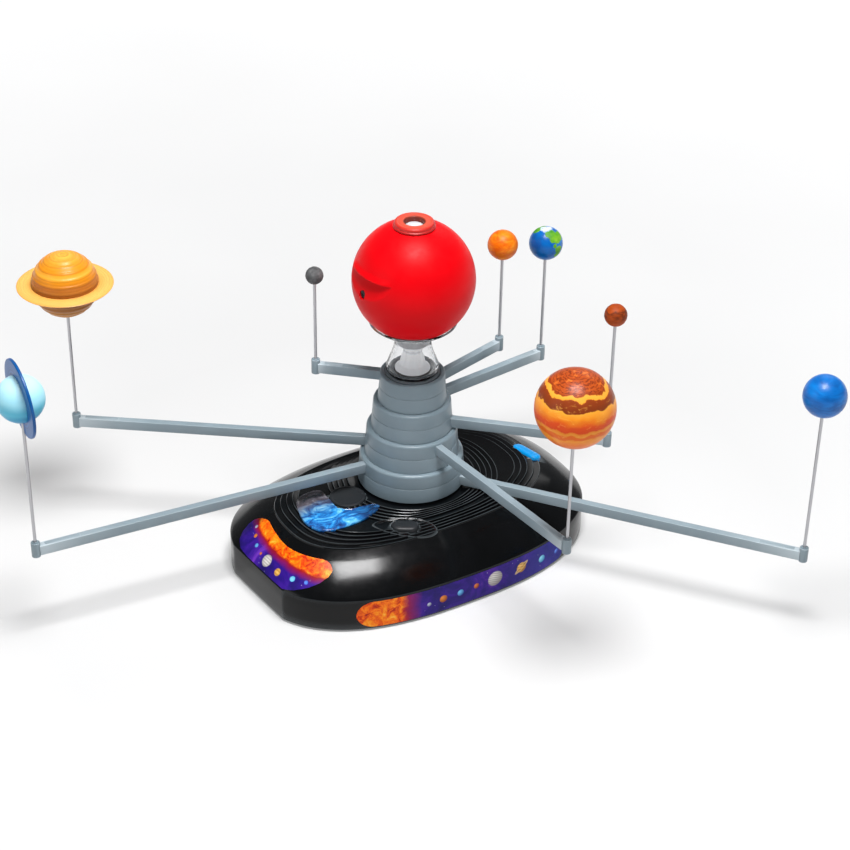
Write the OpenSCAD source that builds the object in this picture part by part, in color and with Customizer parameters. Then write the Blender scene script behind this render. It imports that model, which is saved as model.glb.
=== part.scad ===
// Tabletop orrery: eight planets on turning arms round a projector sun.
// Millimetres, +Z up. The origin is on the column's axis, on the floor.

/* [Base] */
// Length of the base
base_l = 277; // [272:1:286]
// Width of the base
base_w = 186; // [180:1:196]
// Height of the upright wall
wall_h = 27.5; // [25:0.5:30]
// Height of the flat deck above the floor
deck_h = 53; // [52:0.5:54]
// How far the shoulder reaches in from the wall
shoulder_w = 51; // [46:1:54]
// How square the outline is, 2 being an ellipse
squareness = 2.6; // [2.3:0.1:3]
// Thickness of the base's walls
shell_t = 2.5; // [2:0.1:3]
// Offset of the column from the middle of the base, along it
column_off_x = 7; // [3:0.5:10]
// Offset of the column from the middle of the base, across it
column_off_y = 8.5; // [4:0.5:10]

/* [Column] */
// Radius of the centre post
post_r = 14; // [13.5:0.1:14]
// Height taken by each ring of the column
ring_pitch = 11.52; // [11.4:0.02:11.6]
// Top radius of the uppermost ring
top_ring_r = 24; // [24:0.5:25]
// Growth in radius from one pair of rings to the next
pair_step = 5; // [4:0.1:5]
// Growth in radius over the height of one ring
ring_taper = 0.9; // [0.4:0.1:1]
// Radial clearance between each ring and the post
ring_clear = 0.08; // [0.05:0.01:0.1]

/* [Arms] */
// Width of an arm
arm_w = 5.6; // [5:0.1:6]
// Height of an arm
arm_h = 7.8; // [7:0.1:8]
// Radius of the hub at an arm's end
hub_r = 3.3; // [3.1:0.1:4]
// Radius of the steel rods
rod_r = 1.15; // [0.9:0.05:1.2]

/* [Mercury] */
// Length of the arm, from the column's axis to the rod
mercury_arm = 73.5; // [72:0.5:76]
// Direction of the arm at rest
mercury_heading = 137.8; // [120:0.1:160]
// Radius of the ball
mercury_r = 6.6; // [6:0.1:7]
// Height of the ball's centre
mercury_h = 217.4; // [210:0.1:225]

/* [Venus] */
// Length of the arm, from the column's axis to the rod
venus_arm = 97; // [95:0.5:98]
// Direction of the arm at rest
venus_heading = 15; // [5:0.1:30]
// Radius of the ball
venus_r = 11.5; // [11:0.1:12]
// Height of the ball's centre
venus_h = 214.6; // [210:0.1:220]

/* [Earth] */
// Length of the arm, from the column's axis to the rod
earth_arm = 125.5; // [124.5:0.1:125.6]
// Direction of the arm at rest
earth_heading = 6; // [0:0.1:15]
// Radius of the ball
earth_r = 12.8; // [12:0.1:12.9]
// Height of the ball's centre
earth_h = 213.4; // [210:0.1:220]

/* [Mars] */
// Length of the arm, from the column's axis to the rod
mars_arm = 147.2; // [147.1:0.1:147.3]
// Direction of the arm at rest
mars_heading = -42.8; // [-60:0.1:-30]
// Radius of the ball
mars_r = 8.3; // [8:0.1:8.3]
// Height of the ball's centre
mars_h = 211.4; // [205:0.1:215]

/* [Jupiter] */
// Length of the arm, from the column's axis to the rod
jupiter_arm = 183.5; // [183.5:0.1:185]
// Direction of the arm at rest
jupiter_heading = -85.3; // [-100:0.1:-70]
// Radius of the ball
jupiter_r = 27.6; // [26:0.1:27.6]
// Height of the ball's centre
jupiter_h = 207.6; // [205:0.1:212]

/* [Saturn] */
// Length of the arm, from the column's axis to the rod
saturn_arm_l = 257.4; // [254:0.1:258]
// Direction of the arm at rest
saturn_heading = 142.9; // [138:0.1:144]
// Radius of the ball
saturn_r = 24.9; // [24:0.1:25]
// Height of the ball's centre
saturn_h = 201.7; // [198:0.1:205]
// Outer radius of its ring
saturn_ring_r = 35.6; // [32:0.1:36]
// Lean of its ring
saturn_ring_lean = 0; // [0:1:10]

/* [Uranus] */
// Length of the arm, from the column's axis to the rod
uranus_arm_l = 294.3; // [290:0.1:296]
// Direction of the arm at rest
uranus_heading = 174.2; // [172:0.1:176]
// Radius of the ball
uranus_r = 16.9; // [16:0.1:17.5]
// Height of the ball's centre
uranus_h = 197.1; // [192:0.1:200]
// Outer radius of its ring
uranus_ring_r = 28.4; // [26:0.1:29]
// Lean of its ring
uranus_ring_lean = 87; // [84:1:96]

/* [Neptune] */
// Length of the arm, from the column's axis to the rod
neptune_arm_l = 302.9; // [300:0.1:305]
// Direction of the arm at rest
neptune_heading = -52.3; // [-58:0.1:-48]
// Radius of the ball
neptune_r = 15.4; // [15:0.1:16]
// Height of the ball's centre
neptune_h = 194.2; // [190:0.1:198]

/* [Sun] */
// Radius of the sun
sun_r = 45; // [44.5:0.1:45.2]
// Height of the sun's centre
sun_h = 223; // [222.5:0.1:223.5]
// Radius of the lens ring's top
lens_ring_r = 13.8; // [13.4:0.1:14.2]

/* [Hidden] */
// Piece to show, or all of them
PLANETS = ["mercury", "venus", "earth", "mars", "jupiter", "saturn", "uranus", "neptune"];

$fn = 64;
eps = 0.01;

// Planets from the top ring down: arm length, heading, ball radius, ball height
arm_len = [mercury_arm, venus_arm, earth_arm, mars_arm,
           jupiter_arm, saturn_arm_l, uranus_arm_l, neptune_arm_l];
heading = [mercury_heading, venus_heading, earth_heading, mars_heading,
           jupiter_heading, saturn_heading, uranus_heading, neptune_heading];
ball_r = [mercury_r, venus_r, earth_r, mars_r, jupiter_r, saturn_r, uranus_r, neptune_r];
ball_h = [mercury_h, venus_h, earth_h, mars_h, jupiter_h, saturn_h, uranus_h, neptune_h];
ball_colour = ["dimgray", "orange", "royalblue", "sienna",
               "chocolate", "goldenrod", "skyblue", "dodgerblue"];

// Heights and fits
foot_t = 1.5;
plate_t = 3;
plate_gap = 0.3;
outline_steps = 80;
shoulder_steps = 7;
cavity_steps = 4;
ring_gap = 0.22;
ring_h = ring_pitch - ring_gap;
stack_z = deck_h + 1.2;
stack_top = stack_z + 8 * ring_pitch - ring_gap;
post_bore_r = 9;
post_flange_r = 25;
post_flange_t = 2.5;
boss_z = deck_h - 9;
screw_r = 1.45;
screw_hole_r = 1.5;

// Flat at the left end: a point on it, its outward normal and how far in it fades
facet_at = [-base_l / 2 - column_off_x + 2.1, 20];
facet_out = [-0.998, -0.0638];
facet_fade = 24;

// Pillars that take the case screws, by angle round the outline
pillar_inset = 14;
pillar_angles = [30, 90, 150, 210, 270, 330];
pillar_r = 4.5;
foot_inset = 26;
foot_angles = [40, 140, 220, 320];

// Battery tray
tray_c = [62, -8];
cell_l = 50.5;
cell_r = 7.25;
tray_in = [52.5, 46, 20];
tray_wall = 1.5;

// Deck controls
round_c = [-57.3, -2.5];
round_r = 13.6;
oval_c = [-39.3, -56];
oval_l = 20;
oval_w = 12;
oval_turn = -33;
surround_l = 49;
surround_w = 22;
power_c = [95.5, -16];
power_turn = 12;
power_tilt = 15;
power_z = 50.6;
power_l = 26;
power_w = 10.6;
flange_w = 1.6;
board_z = 39;
board_t = 1.6;

// Sun
recess_turn = 182.5;
brow_z = 14.5;

// ---- Outline of the base -------------------------------------------------

function power(v, e) = sign(v) * pow(abs(v), e);

function oval_point(a, inset) =
    [(base_l / 2 - inset) * power(cos(a), 2 / squareness) - column_off_x,
     (base_w / 2 - inset) * power(sin(a), 2 / squareness) - column_off_y];

// Outline with the left end flattened, less so further up the shoulder
function rim_point(a, inset) =
    let (p = oval_point(a, inset),
         proud = (p - facet_at) * facet_out + inset,
         share = 0.94 * max(0, 1 - inset / facet_fade))
    proud > 0 ? p - facet_out * proud * share : p;

function rim(inset, steps = outline_steps) =
    [for (i = [0:steps - 1]) rim_point(360 * i / steps, inset)];

// Height of the shoulder at a share k of its width, from wall to deck
function shoulder_z(k) = wall_h + (deck_h - wall_h) * (1 - pow(1 - k, 2));

// Levels of a shell drawn in by t, from floor z up to the deck, as [inset, height]
function levels(t, floor_z, steps) = concat(
    [[t, floor_z]],
    [for (i = [0:steps])
        let (k = pow(i / steps, 1.2))
        [t + (shoulder_w - t * 0.4) * k, shoulder_z(k) - t]]);

// Closed solid through rings of the base's outline
module loft(lv) {
    n = outline_steps;
    m = len(lv);
    points = [for (l = lv) for (p = rim(l[0])) [p[0], p[1], l[1]]];
    sides = [for (j = [0:m - 2]) for (i = [0:n - 1])
        let (a = j * n + i, b = j * n + (i + 1) % n)
        each [[a, a + n, b], [b, a + n, b + n]]];
    bottom = [[for (i = [0:n - 1]) i]];
    top = [[for (i = [0:n - 1]) (m - 1) * n + n - 1 - i]];
    polyhedron(points, concat(sides, bottom, top), convexity = 6);
}

// ---- Shared shapes --------------------------------------------------------

module tube(r_out, r_in, h) {
    difference() {
        cylinder(r = r_out, h = h);
        translate([0, 0, -1]) cylinder(r = r_in, h = h + 2);
    }
}

// Upright block with round ends, l long along X
module pill(l, w, h) {
    for (s = [-1, 1]) translate([s * (l - w) / 2, 0, 0]) cylinder(d = w, h = h);
    translate([-(l - w) / 2, -w / 2, 0]) cube([l - w, w, h]);
}

module at_angles(angles, inset, z) {
    for (a = angles) {
        p = rim_point(a, inset);
        translate([p[0], p[1], z]) children();
    }
}

module screw(head_r, head_h, shank_r, length) {
    cylinder(r = head_r, h = head_h);
    translate([0, 0, head_h - eps]) cylinder(r = shank_r, h = length);
}

module at_round() translate([round_c[0], round_c[1], 0]) children();

module at_oval() translate([oval_c[0], oval_c[1], 0]) rotate(oval_turn) children();

// Frame of the power button: Z along its travel, X along its length
module at_power() {
    translate([power_c[0], power_c[1], power_z]) rotate([0, 0, power_turn])
        rotate([0, power_tilt, 0]) rotate(90) children();
}

// ---- Base -----------------------------------------------------------------

module post_screw_places() {
    for (a = [45:90:315]) rotate(a) translate([19.5, 0, 0]) children();
}

module base_pillars() {
    at_angles(pillar_angles, pillar_inset, foot_t + plate_t) cylinder(r = pillar_r, h = 60);
    translate([0, 0, boss_z]) cylinder(r = post_flange_r, h = 30);
}

module base_holes() {
    translate([0, 0, 30]) cylinder(r = post_r + 0.05, h = 40);
    translate([0, 0, boss_z - 1]) post_screw_places() cylinder(r = screw_hole_r, h = 7);
    at_angles(pillar_angles, pillar_inset, 0) cylinder(r = screw_hole_r, h = 18);
    at_round() translate([0, 0, 30]) cylinder(r = round_r + 0.3, h = 40);
    at_oval() translate([0, 0, 30]) pill(oval_l + 0.6, oval_w + 0.6, 40);
    at_power() translate([0, 0, -12]) pill(power_l + 0.6, power_w + 0.6, 24);
}

module base_shell() {
    color([0.05, 0.05, 0.06]) difference() {
        union() {
            loft(levels(0, foot_t, shoulder_steps));
            translate([0, 0, boss_z + 1]) cylinder(r = 20, h = stack_z - ring_gap - boss_z - 1);
            at_oval() translate([0, 0, 44]) pill(surround_l, surround_w, deck_h + 0.4 - 44);
        }
        difference() {
            loft(levels(shell_t, foot_t - 1, cavity_steps));
            base_pillars();
        }
        base_holes();
    }
}

module base_plate() {
    tray_out = [tray_in[0] + 2 * tray_wall, tray_in[1] + 2 * tray_wall];
    color([0.08, 0.08, 0.09]) difference() {
        union() {
            translate([0, 0, foot_t]) linear_extrude(plate_t)
                polygon(rim(shell_t + plate_gap));
            translate([tray_c[0] - tray_out[0] / 2, tray_c[1] - tray_out[1] / 2, foot_t])
                cube([tray_out[0], tray_out[1], tray_in[2]]);
        }
        translate([tray_c[0] - tray_in[0] / 2, tray_c[1] - tray_in[1] / 2, 0])
            cube([tray_in[0], tray_in[1], tray_in[2]]);
        battery_door_space(0.2);
        door_screw_place() cylinder(r = screw_hole_r, h = 12);
        at_angles(pillar_angles, pillar_inset, 0) {
            cylinder(r = screw_hole_r + 0.2, h = 10);
            cylinder(r = 3.1, h = foot_t + 1.6);
        }
    }
}

module door_screw_place() {
    translate([tray_c[0] + tray_in[0] / 2 + 5.5, tray_c[1], 0]) children();
}

// Room for the door, grown by g all round
module battery_door_space(g) {
    l = tray_in[0] + 6 + 2 * g;
    w = tray_in[1] + 6 + 2 * g;
    translate([tray_c[0] - l / 2, tray_c[1] - w / 2, foot_t - g]) cube([l, w, 2 + g]);
    door_screw_place() translate([0, 0, foot_t - g]) cylinder(r = 5 + g, h = 2 + g);
}

module battery_door() {
    color([0.1, 0.1, 0.11]) difference() {
        battery_door_space(0);
        door_screw_place() {
            cylinder(r = screw_hole_r + 0.2, h = 10);
            cylinder(r = 3.1, h = foot_t + 1.2);
        }
    }
}

module cell_places() {
    for (i = [-1:1])
        translate([tray_c[0], tray_c[1] + 15 * i, foot_t + 2.4 + cell_r])
            rotate([0, 90, i == 0 ? 180 : 0]) children();
}

module batteries() {
    color("seagreen") cell_places() {
        translate([0, 0, -cell_l / 2]) cylinder(r = cell_r, h = cell_l - 1.3);
        translate([0, 0, cell_l / 2 - 1.3 - eps]) cylinder(r = 2.7, h = 1.2);
    }
}

module battery_contacts() {
    contact_h = 9;
    color("silver") for (s = [-1, 1]) for (i = [-1:1])
        translate([tray_c[0] + s * (tray_in[0] / 2 - 0.35), tray_c[1] + 15 * i, foot_t + 9.6])
            cube([0.5, 10, contact_h], center = true);
}

module circuit_boards() {
    tact = [6, 6, 2.8];
    color("darkgreen") {
        translate([-77, -70, board_z]) cube([50, 80, board_t]);
        at_power() translate([-13, -8, -15]) cube([26, 16, board_t]);
    }
    color("gray") {
        at_round() translate([-3, -3, board_z + board_t - eps]) cube(tact);
        at_oval() translate([-3, -3, board_z + board_t - eps]) cube(tact);
        at_power() translate([-3, -3, -15 + board_t - eps]) cube(tact);
    }
}

module rubber_feet() {
    color([0.15, 0.15, 0.15]) {
        at_angles(foot_angles, foot_inset, 0) cylinder(r = 7, h = foot_t);
        cylinder(r = 8, h = foot_t);
    }
}

module case_screws() {
    color("silver") {
        at_angles(pillar_angles, pillar_inset, foot_t + 0.1) screw(2.9, 1.5, screw_r, 12);
        door_screw_place() translate([0, 0, foot_t + 0.1]) screw(2.9, 1.1, screw_r, 6);
    }
}

// ---- Deck controls --------------------------------------------------------

module round_button() {
    deck_under = deck_h - shell_t;
    color([0.12, 0.12, 0.13]) at_round() {
        translate([0, 0, deck_under - 2.3]) cylinder(r = round_r, h = 5.6);
        translate([0, 0, deck_under + 3.3 - eps]) cylinder(r1 = round_r, r2 = round_r - 1, h = 1);
        translate([0, 0, deck_under - 2.3]) cylinder(r = round_r + flange_w, h = 2);
        translate([0, 0, deck_under - 5]) cylinder(r = 3, h = 3);
    }
}

module oval_button() {
    under = 46.8;
    flange_t = 0.8;
    color([0.2, 0.2, 0.21]) at_oval() {
        translate([0, 0, under]) pill(oval_l, oval_w, deck_h + 1.7 - under);
        translate([0, 0, under - flange_t])
            pill(oval_l + 2 * flange_w, oval_w + 2 * flange_w, flange_t + eps);
        translate([0, 0, under - flange_t - 0.8]) cylinder(r = 3, h = 1);
    }
}

module power_button() {
    color([0.15, 0.65, 0.9]) at_power() {
        translate([0, 0, -6]) pill(power_l, power_w, 7.6);
        translate([0, 0, 1.6 - eps]) pill(power_l - 2, power_w - 2, 0.7);
        translate([0, 0, -8.5]) cylinder(r = 2.5, h = 3);
    }
}

// ---- Decals ---------------------------------------------------------------

module wall_decal() {
    film = 0.25;
    color([0.25, 0.12, 0.5]) intersection() {
        translate([0, 0, 4.5]) linear_extrude(22) difference() {
            polygon(rim(-film));
            polygon(rim(-0.01));
        }
        translate([-99, -120, 0]) cube([180, 80, 40]);
    }
}

module nebula_decal() {
    color([0.2, 0.55, 0.85]) translate([0, 0, deck_h + 0.01]) linear_extrude(0.25)
        difference() {
            translate([-76, -14]) circle(r = 24);
            at_round() circle(r = round_r + 3);
            translate([-40, 22]) circle(r = 36);
        }
}

// ---- Column ---------------------------------------------------------------

module centre_post() {
    color([0.1, 0.1, 0.11]) difference() {
        union() {
            translate([0, 0, boss_z - post_flange_t])
                cylinder(r = post_r, h = stack_top + 0.3 - boss_z + post_flange_t);
            translate([0, 0, boss_z - post_flange_t]) cylinder(r = post_flange_r, h = post_flange_t);
        }
        cylinder(r = post_bore_r, h = 200);
        post_screw_places() translate([0, 0, 30]) cylinder(r = screw_hole_r + 0.2, h = 20);
    }
}

module post_screws() {
    color("silver") translate([0, 0, boss_z - post_flange_t - 1.8])
        post_screw_places() screw(2.9, 1.8, screw_r, post_flange_t + 5);
}

function ring_z(i) = stack_z + (7 - i) * ring_pitch;
function ring_top_r(i) = top_ring_r + pair_step * floor(i / 2) + ring_taper * (i % 2);

module slip_washers() {
    color("white") for (i = [0:7])
        translate([0, 0, ring_z(i) - ring_gap + 0.02]) tube(19.8, post_r + 0.05, 1.08);
}

module retaining_ring() {
    color([0.12, 0.12, 0.12]) translate([0, 0, stack_top - 1.74])
        tube(20.5, post_r + 0.05, 2);
}

// Ring i of the column: tapering skirt, sleeve on the post, socket for its arm
module collar(i) {
    r = ring_top_r(i);
    socket_d = 7;
    color([0.49, 0.55, 0.59]) translate([0, 0, ring_z(i)]) difference() {
        rotate_extrude($fn = 128) polygon([
            [post_r + ring_clear, 0], [r + ring_taper, 0], [r + 0.1, ring_h - 0.9],
            [r - 0.7, ring_h], [post_r + ring_clear, ring_h]]);
        if (i > 0) difference() {
            translate([0, 0, -1]) tube(r - 2.2, 16.5, ring_h - 1);
            rotate(heading[i]) translate([r - 12, -arm_w / 2 - 2, -2]) cube([12, arm_w + 4, 20]);
        }
        translate([0, 0, -0.1]) cylinder(r = 20.1, h = 1);
        rotate(heading[i]) translate([r - socket_d, -arm_w / 2 - 0.05, 1.35])
            cube([socket_d + 3, arm_w + 0.1, arm_h + 0.1]);
        if (i == 0) translate([0, 0, ring_h - 1.84]) cylinder(r = 20.9, h = 3);
    }
}

// Arm i: bar with a blank name plaque, and an upright hub that holds the rod
module arm(i) {
    r = ring_top_r(i);
    root_r = r - 6.8;
    hub_h = 12.6;
    plaque_l = arm_len[i] > 100 ? 26 : 14;
    color([0.52, 0.58, 0.62]) rotate(heading[i]) translate([0, 0, ring_z(i)]) difference() {
        union() {
            translate([root_r, -arm_w / 2, 1.4]) cube([arm_len[i] - root_r, arm_w, arm_h]);
            translate([arm_len[i], 0, 0.2]) cylinder(r = hub_r, h = hub_h);
            translate([arm_len[i] - hub_r - 3 - plaque_l, -arm_w * 0.32, 1.4 + arm_h - eps])
                cube([plaque_l, arm_w * 0.64, 0.35]);
        }
        translate([arm_len[i], 0, 2.2]) cylinder(r = rod_r + 0.05, h = 20);
    }
}

module rod(i) {
    z0 = ring_z(i) + 2.2;
    z1 = ball_h[i] - 0.35 * ball_r[i];
    color("silver") rotate(heading[i]) translate([arm_len[i], 0, z0])
        cylinder(r = rod_r, h = z1 - z0);
}

// Ball i, hollow with a rod socket where it is big enough
module ball(i) {
    r = ball_r[i];
    wall = 2;
    hollow = r > 14;
    color(ball_colour[i]) rotate(heading[i]) translate([arm_len[i], 0, ball_h[i]]) difference() {
        sphere(r = r, $fn = 96);
        if (hollow) difference() {
            sphere(r = r - wall, $fn = 96);
            translate([0, 0, -r]) cylinder(r = 3.2, h = 0.65 * r + 3);
        }
        translate([0, 0, -r - 1]) cylinder(r = rod_r + 0.05, h = 0.65 * r + 1);
    }
}

// Flat ring round the ball of planet i, its pole leaning towards a heading
module planet_ring(i, outer_r, thick, lean_heading, lean) {
    rotate(heading[i]) translate([arm_len[i], 0, ball_h[i]]) rotate(lean_heading - heading[i])
        rotate([0, lean, 0]) translate([0, 0, -thick / 2]) difference() {
            cylinder(r = outer_r, h = thick, $fn = 128);
            translate([0, 0, thick / 2]) sphere(r = ball_r[i] + 0.05, $fn = 96);
        }
}

module saturn_ring() {
    color([0.98, 0.8, 0.45]) planet_ring(5, saturn_ring_r, 1.6, 145, saturn_ring_lean);
}

// Upright ring, open at the bottom so that it slips over the rod
module uranus_ring() {
    color([0.05, 0.42, 0.75]) difference() {
        planet_ring(6, uranus_ring_r, 2.4, -4, uranus_ring_lean);
        rotate(heading[6]) translate([arm_len[6], 0, ball_h[6] - uranus_ring_r - 1])
            cylinder(r = rod_r + 0.2, h = uranus_ring_r - 8);
    }
}

// ---- Neck, lamp and sun ---------------------------------------------------

// Profile of the neck and dish: down the outside, then back up the inside
module clear_neck() {
    dish_in = sun_r + 0.4;
    dish_out = sun_r + 2.2;
    foot_z = stack_top + 0.3;
    spigot_r = post_bore_r - 0.05;
    outer_dish = [for (a = [42:-4:18]) [dish_out * sin(a), sun_h - dish_out * cos(a)]];
    inner_dish = [for (a = [18:4:42]) [dish_in * sin(a), sun_h - dish_in * cos(a)]];
    flare = [[14.4, 176], [15.2, 169], [16.6, 162], [18.6, 155.5], [20, 151.5], [20.2, 149.5],
             [19.6, 147.5], [18.2, foot_z]];
    spigot = [[spigot_r, foot_z], [spigot_r, foot_z - 8], [spigot_r - 1.7, foot_z - 8],
              [spigot_r - 1.7, foot_z + 1.8]];
    bore = [[16.6, foot_z + 1.8], [18, 150.5], [16.8, 154.6], [14.9, 161.4], [13.5, 169],
            [12.45, 170.5], [12.45, 179]];
    color([0.85, 0.88, 0.9, 0.4]) rotate_extrude($fn = 96)
        polygon(concat(outer_dish, flare, spigot, bore, inner_dish));
}

module lamp_holder() {
    foot_z = stack_top + 0.3;
    color([0.75, 0.75, 0.76]) {
        translate([0, 0, foot_z - 6]) tube(7.2, 5, 8.5);
        translate([0, 0, foot_z + 2.4]) tube(10, 2.5, 1.5);
        translate([0, 0, foot_z + 3.8]) tube(3.7, 2.5, 17);
        translate([0, 0, foot_z + 20.7]) tube(9.4, 2.5, 2);
        translate([0, 0, foot_z + 22.6]) tube(9.4, 7.8, 7);
    }
}

module lamp() {
    seat_z = stack_top + 23;
    color([1, 1, 0.85]) translate([0, 0, seat_z]) {
        cylinder(r = 4, h = 1.2);
        cylinder(r = 2.5, h = 8);
        translate([0, 0, 8]) sphere(r = 2.5);
    }
}

module lamp_leads() {
    color("firebrick") for (s = [-1, 1])
        translate([s * 1.3, 0, 30]) cylinder(r = 0.8, h = stack_top + 23 - 30);
}

// Everything in front of the recess face, g mm further in, under the brow
module recess_space(g) {
    face_r = 87;
    lean = 21.8;
    face_x = sun_r - 6.4;
    rotate(recess_turn) difference() {
        translate([24, -34, -14]) cube([40, 68, 14 + brow_z + g]);
        translate([face_x - g, 0, brow_z]) rotate([0, -lean, 0]) translate([-face_r, 0, -90])
            cylinder(r = face_r, h = 180, $fn = 128);
    }
}

module sun_shell() {
    wall = 2;
    color([0.85, 0.05, 0.08]) translate([0, 0, sun_h]) difference() {
        sphere(r = sun_r, $fn = 128);
        difference() {
            sphere(r = sun_r - wall, $fn = 128);
            recess_space(wall);
            rotate([0, 90, recess_turn]) cylinder(r = 5.4, h = 60);
            translate([0, 0, 36]) cylinder(r = 15, h = 20);
        }
        recess_space(0);
        translate([0, 0, 20]) cylinder(r = 12.55, h = 40);
        translate([0, 0, -60]) cylinder(r = 22, h = 40);
        rotate([0, 90, recess_turn]) cylinder(r = 1.5, h = 60);
        rotate([0, 90, recess_turn]) translate([0, 0, 41.2]) cylinder(r = 3.4, h = 20);
        cylinder(r = 30, h = 10, center = true);
    }
}

module sun_screw() {
    color([0.1, 0.1, 0.1]) translate([0, 0, sun_h]) rotate([0, 90, recess_turn])
        translate([0, 0, 43]) rotate([180, 0, 0]) screw(3.3, 1.7, screw_r, 8);
}

module sun_base_cap() {
    color([0.8, 0.05, 0.08]) translate([0, 0, sun_h]) difference() {
        union() {
            intersection() {
                sphere(r = sun_r, $fn = 128);
                translate([0, 0, -50]) cylinder(r = 21.95, h = 12);
            }
            translate([0, 0, -52]) cylinder(r = 12.4, h = 14);
        }
        intersection() {
            sphere(r = sun_r - 2, $fn = 128);
            translate([0, 0, -50]) cylinder(r = 19.5, h = 30);
        }
        translate([0, 0, -60]) cylinder(r = 10.4, h = 40);
    }
}

module lens_ring() {
    barrel_r = 12.5;
    top_z = 46.9;
    color([0.93, 0.45, 0.36]) translate([0, 0, sun_h]) difference() {
        rotate_extrude($fn = 96) polygon([
            [7.2, 34], [barrel_r, 34], [barrel_r, 43.6], [15.4, 42.65], [15.6, 43.6],
            [lens_ring_r + 0.8, top_z - 0.6], [lens_ring_r, top_z], [7.2, top_z]]);
        translate([0, 0, 33]) cylinder(r = 8.8, h = 7);
    }
}

module lens() {
    color([0.9, 0.95, 1, 0.6]) translate([0, 0, sun_h]) intersection() {
        translate([0, 0, 36.5]) cylinder(r = 8.75, h = 10);
        union() {
            translate([0, 0, 36.5]) cylinder(r = 8.75, h = 3.4);
            translate([0, 0, 39.9 - eps]) cylinder(r = 7.1, h = 2.4);
            translate([0, 0, 42.3 - 2 * eps]) cylinder(r1 = 7.1, r2 = 4, h = 2.2);
        }
    }
}

// ---- Nodes ----------------------------------------------------------------

base_shell();
base_plate();
battery_door();
batteries();
battery_contacts();
circuit_boards();
rubber_feet();
case_screws();
round_button();
oval_button();
power_button();
wall_decal();
nebula_decal();
centre_post();
post_screws();
slip_washers();
retaining_ring();
lamp_leads();
lamp_holder();
lamp();
clear_neck();
sun_shell();
sun_base_cap();
sun_screw();
lens_ring();
lens();
saturn_ring();
uranus_ring();
collar(0);  // mercury_collar
collar(1);  // venus_collar
collar(2);  // earth_collar
collar(3);  // mars_collar
collar(4);  // jupiter_collar
collar(5);  // saturn_collar
collar(6);  // uranus_collar
collar(7);  // neptune_collar
arm(0);  // mercury_arm
arm(1);  // venus_arm
arm(2);  // earth_arm
arm(3);  // mars_arm
arm(4);  // jupiter_arm
arm(5);  // saturn_arm
arm(6);  // uranus_arm
arm(7);  // neptune_arm
rod(0);  // mercury_rod
rod(1);  // venus_rod
rod(2);  // earth_rod
rod(3);  // mars_rod
rod(4);  // jupiter_rod
rod(5);  // saturn_rod
rod(6);  // uranus_rod
rod(7);  // neptune_rod
ball(0);  // mercury_ball
ball(1);  // venus_ball
ball(2);  // earth_ball
ball(3);  // mars_ball
ball(4);  // jupiter_ball
ball(5);  // saturn_ball
ball(6);  // uranus_ball
ball(7);  // neptune_ball
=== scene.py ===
import math

import bpy
import bmesh
from mathutils import Matrix, Vector, noise


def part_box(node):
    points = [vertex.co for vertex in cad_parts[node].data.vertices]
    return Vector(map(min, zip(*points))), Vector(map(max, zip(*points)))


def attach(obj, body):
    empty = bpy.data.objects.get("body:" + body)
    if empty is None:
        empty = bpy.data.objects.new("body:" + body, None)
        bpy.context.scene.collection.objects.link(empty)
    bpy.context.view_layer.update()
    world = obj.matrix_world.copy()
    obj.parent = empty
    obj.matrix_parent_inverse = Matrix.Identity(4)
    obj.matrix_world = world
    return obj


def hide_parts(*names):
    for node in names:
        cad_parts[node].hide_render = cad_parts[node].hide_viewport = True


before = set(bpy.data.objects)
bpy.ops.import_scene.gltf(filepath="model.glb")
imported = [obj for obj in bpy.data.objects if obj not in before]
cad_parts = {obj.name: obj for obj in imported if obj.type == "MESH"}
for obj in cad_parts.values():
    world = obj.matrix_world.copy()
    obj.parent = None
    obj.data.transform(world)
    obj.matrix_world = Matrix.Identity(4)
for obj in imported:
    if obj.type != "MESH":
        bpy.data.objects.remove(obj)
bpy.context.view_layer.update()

MM = 0.001
PLANETS = ["mercury", "venus", "earth", "mars", "jupiter", "saturn", "uranus", "neptune"]


# ---- Sizes from the frame, in millimetres ---------------------------------

def box_mm(node):
    lo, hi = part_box(node)
    return Vector(lo) / MM, Vector(hi) / MM


def middle(node):
    lo, hi = box_mm(node)
    return (lo + hi) / 2


SHELL_LO, SHELL_HI = box_mm("base_shell")
HALF_L = 138.5
BASE_MID = Vector((SHELL_HI.x - HALF_L, (SHELL_LO.y + SHELL_HI.y) / 2, 0))
HALF_W = (SHELL_HI.y - SHELL_LO.y) / 2
SQUARENESS = 2.6
WALL_TOP = 27.5
DECK = 53.0
SHOULDER = 51.0
STACK_TOP = box_mm("mercury_collar")[1].z
SUN_R = 45.0
SUN_Z = 223.0


# ---- Mesh helpers ----------------------------------------------------------

def build(name, verts, faces, body, slot, stands_for=(), at=(0, 0, 0), sharp=40):
    """A mesh from points in mm round `at`, placed in the row frame and riding on a body."""
    mesh = bpy.data.meshes.new(name)
    mesh.from_pydata([Vector(v) * MM for v in verts], [], faces)
    mesh.validate()
    bm = bmesh.new()
    bm.from_mesh(mesh)
    bmesh.ops.remove_doubles(bm, verts=bm.verts, dist=1e-7)
    bmesh.ops.dissolve_degenerate(bm, dist=1e-8, edges=bm.edges)
    bmesh.ops.recalc_face_normals(bm, faces=bm.faces)
    bm.to_mesh(mesh)
    bm.free()
    shade(mesh, sharp)
    obj = bpy.data.objects.new(name, mesh)
    bpy.context.scene.collection.objects.link(obj)
    obj.location = Vector(at) * MM
    place(obj, body, stands_for)
    return obj


def shade(mesh, sharp=40):
    mesh.polygons.foreach_set("use_smooth", [True] * len(mesh.polygons))
    mesh.set_sharp_from_angle(angle=math.radians(sharp))
    mesh.update()


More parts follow.
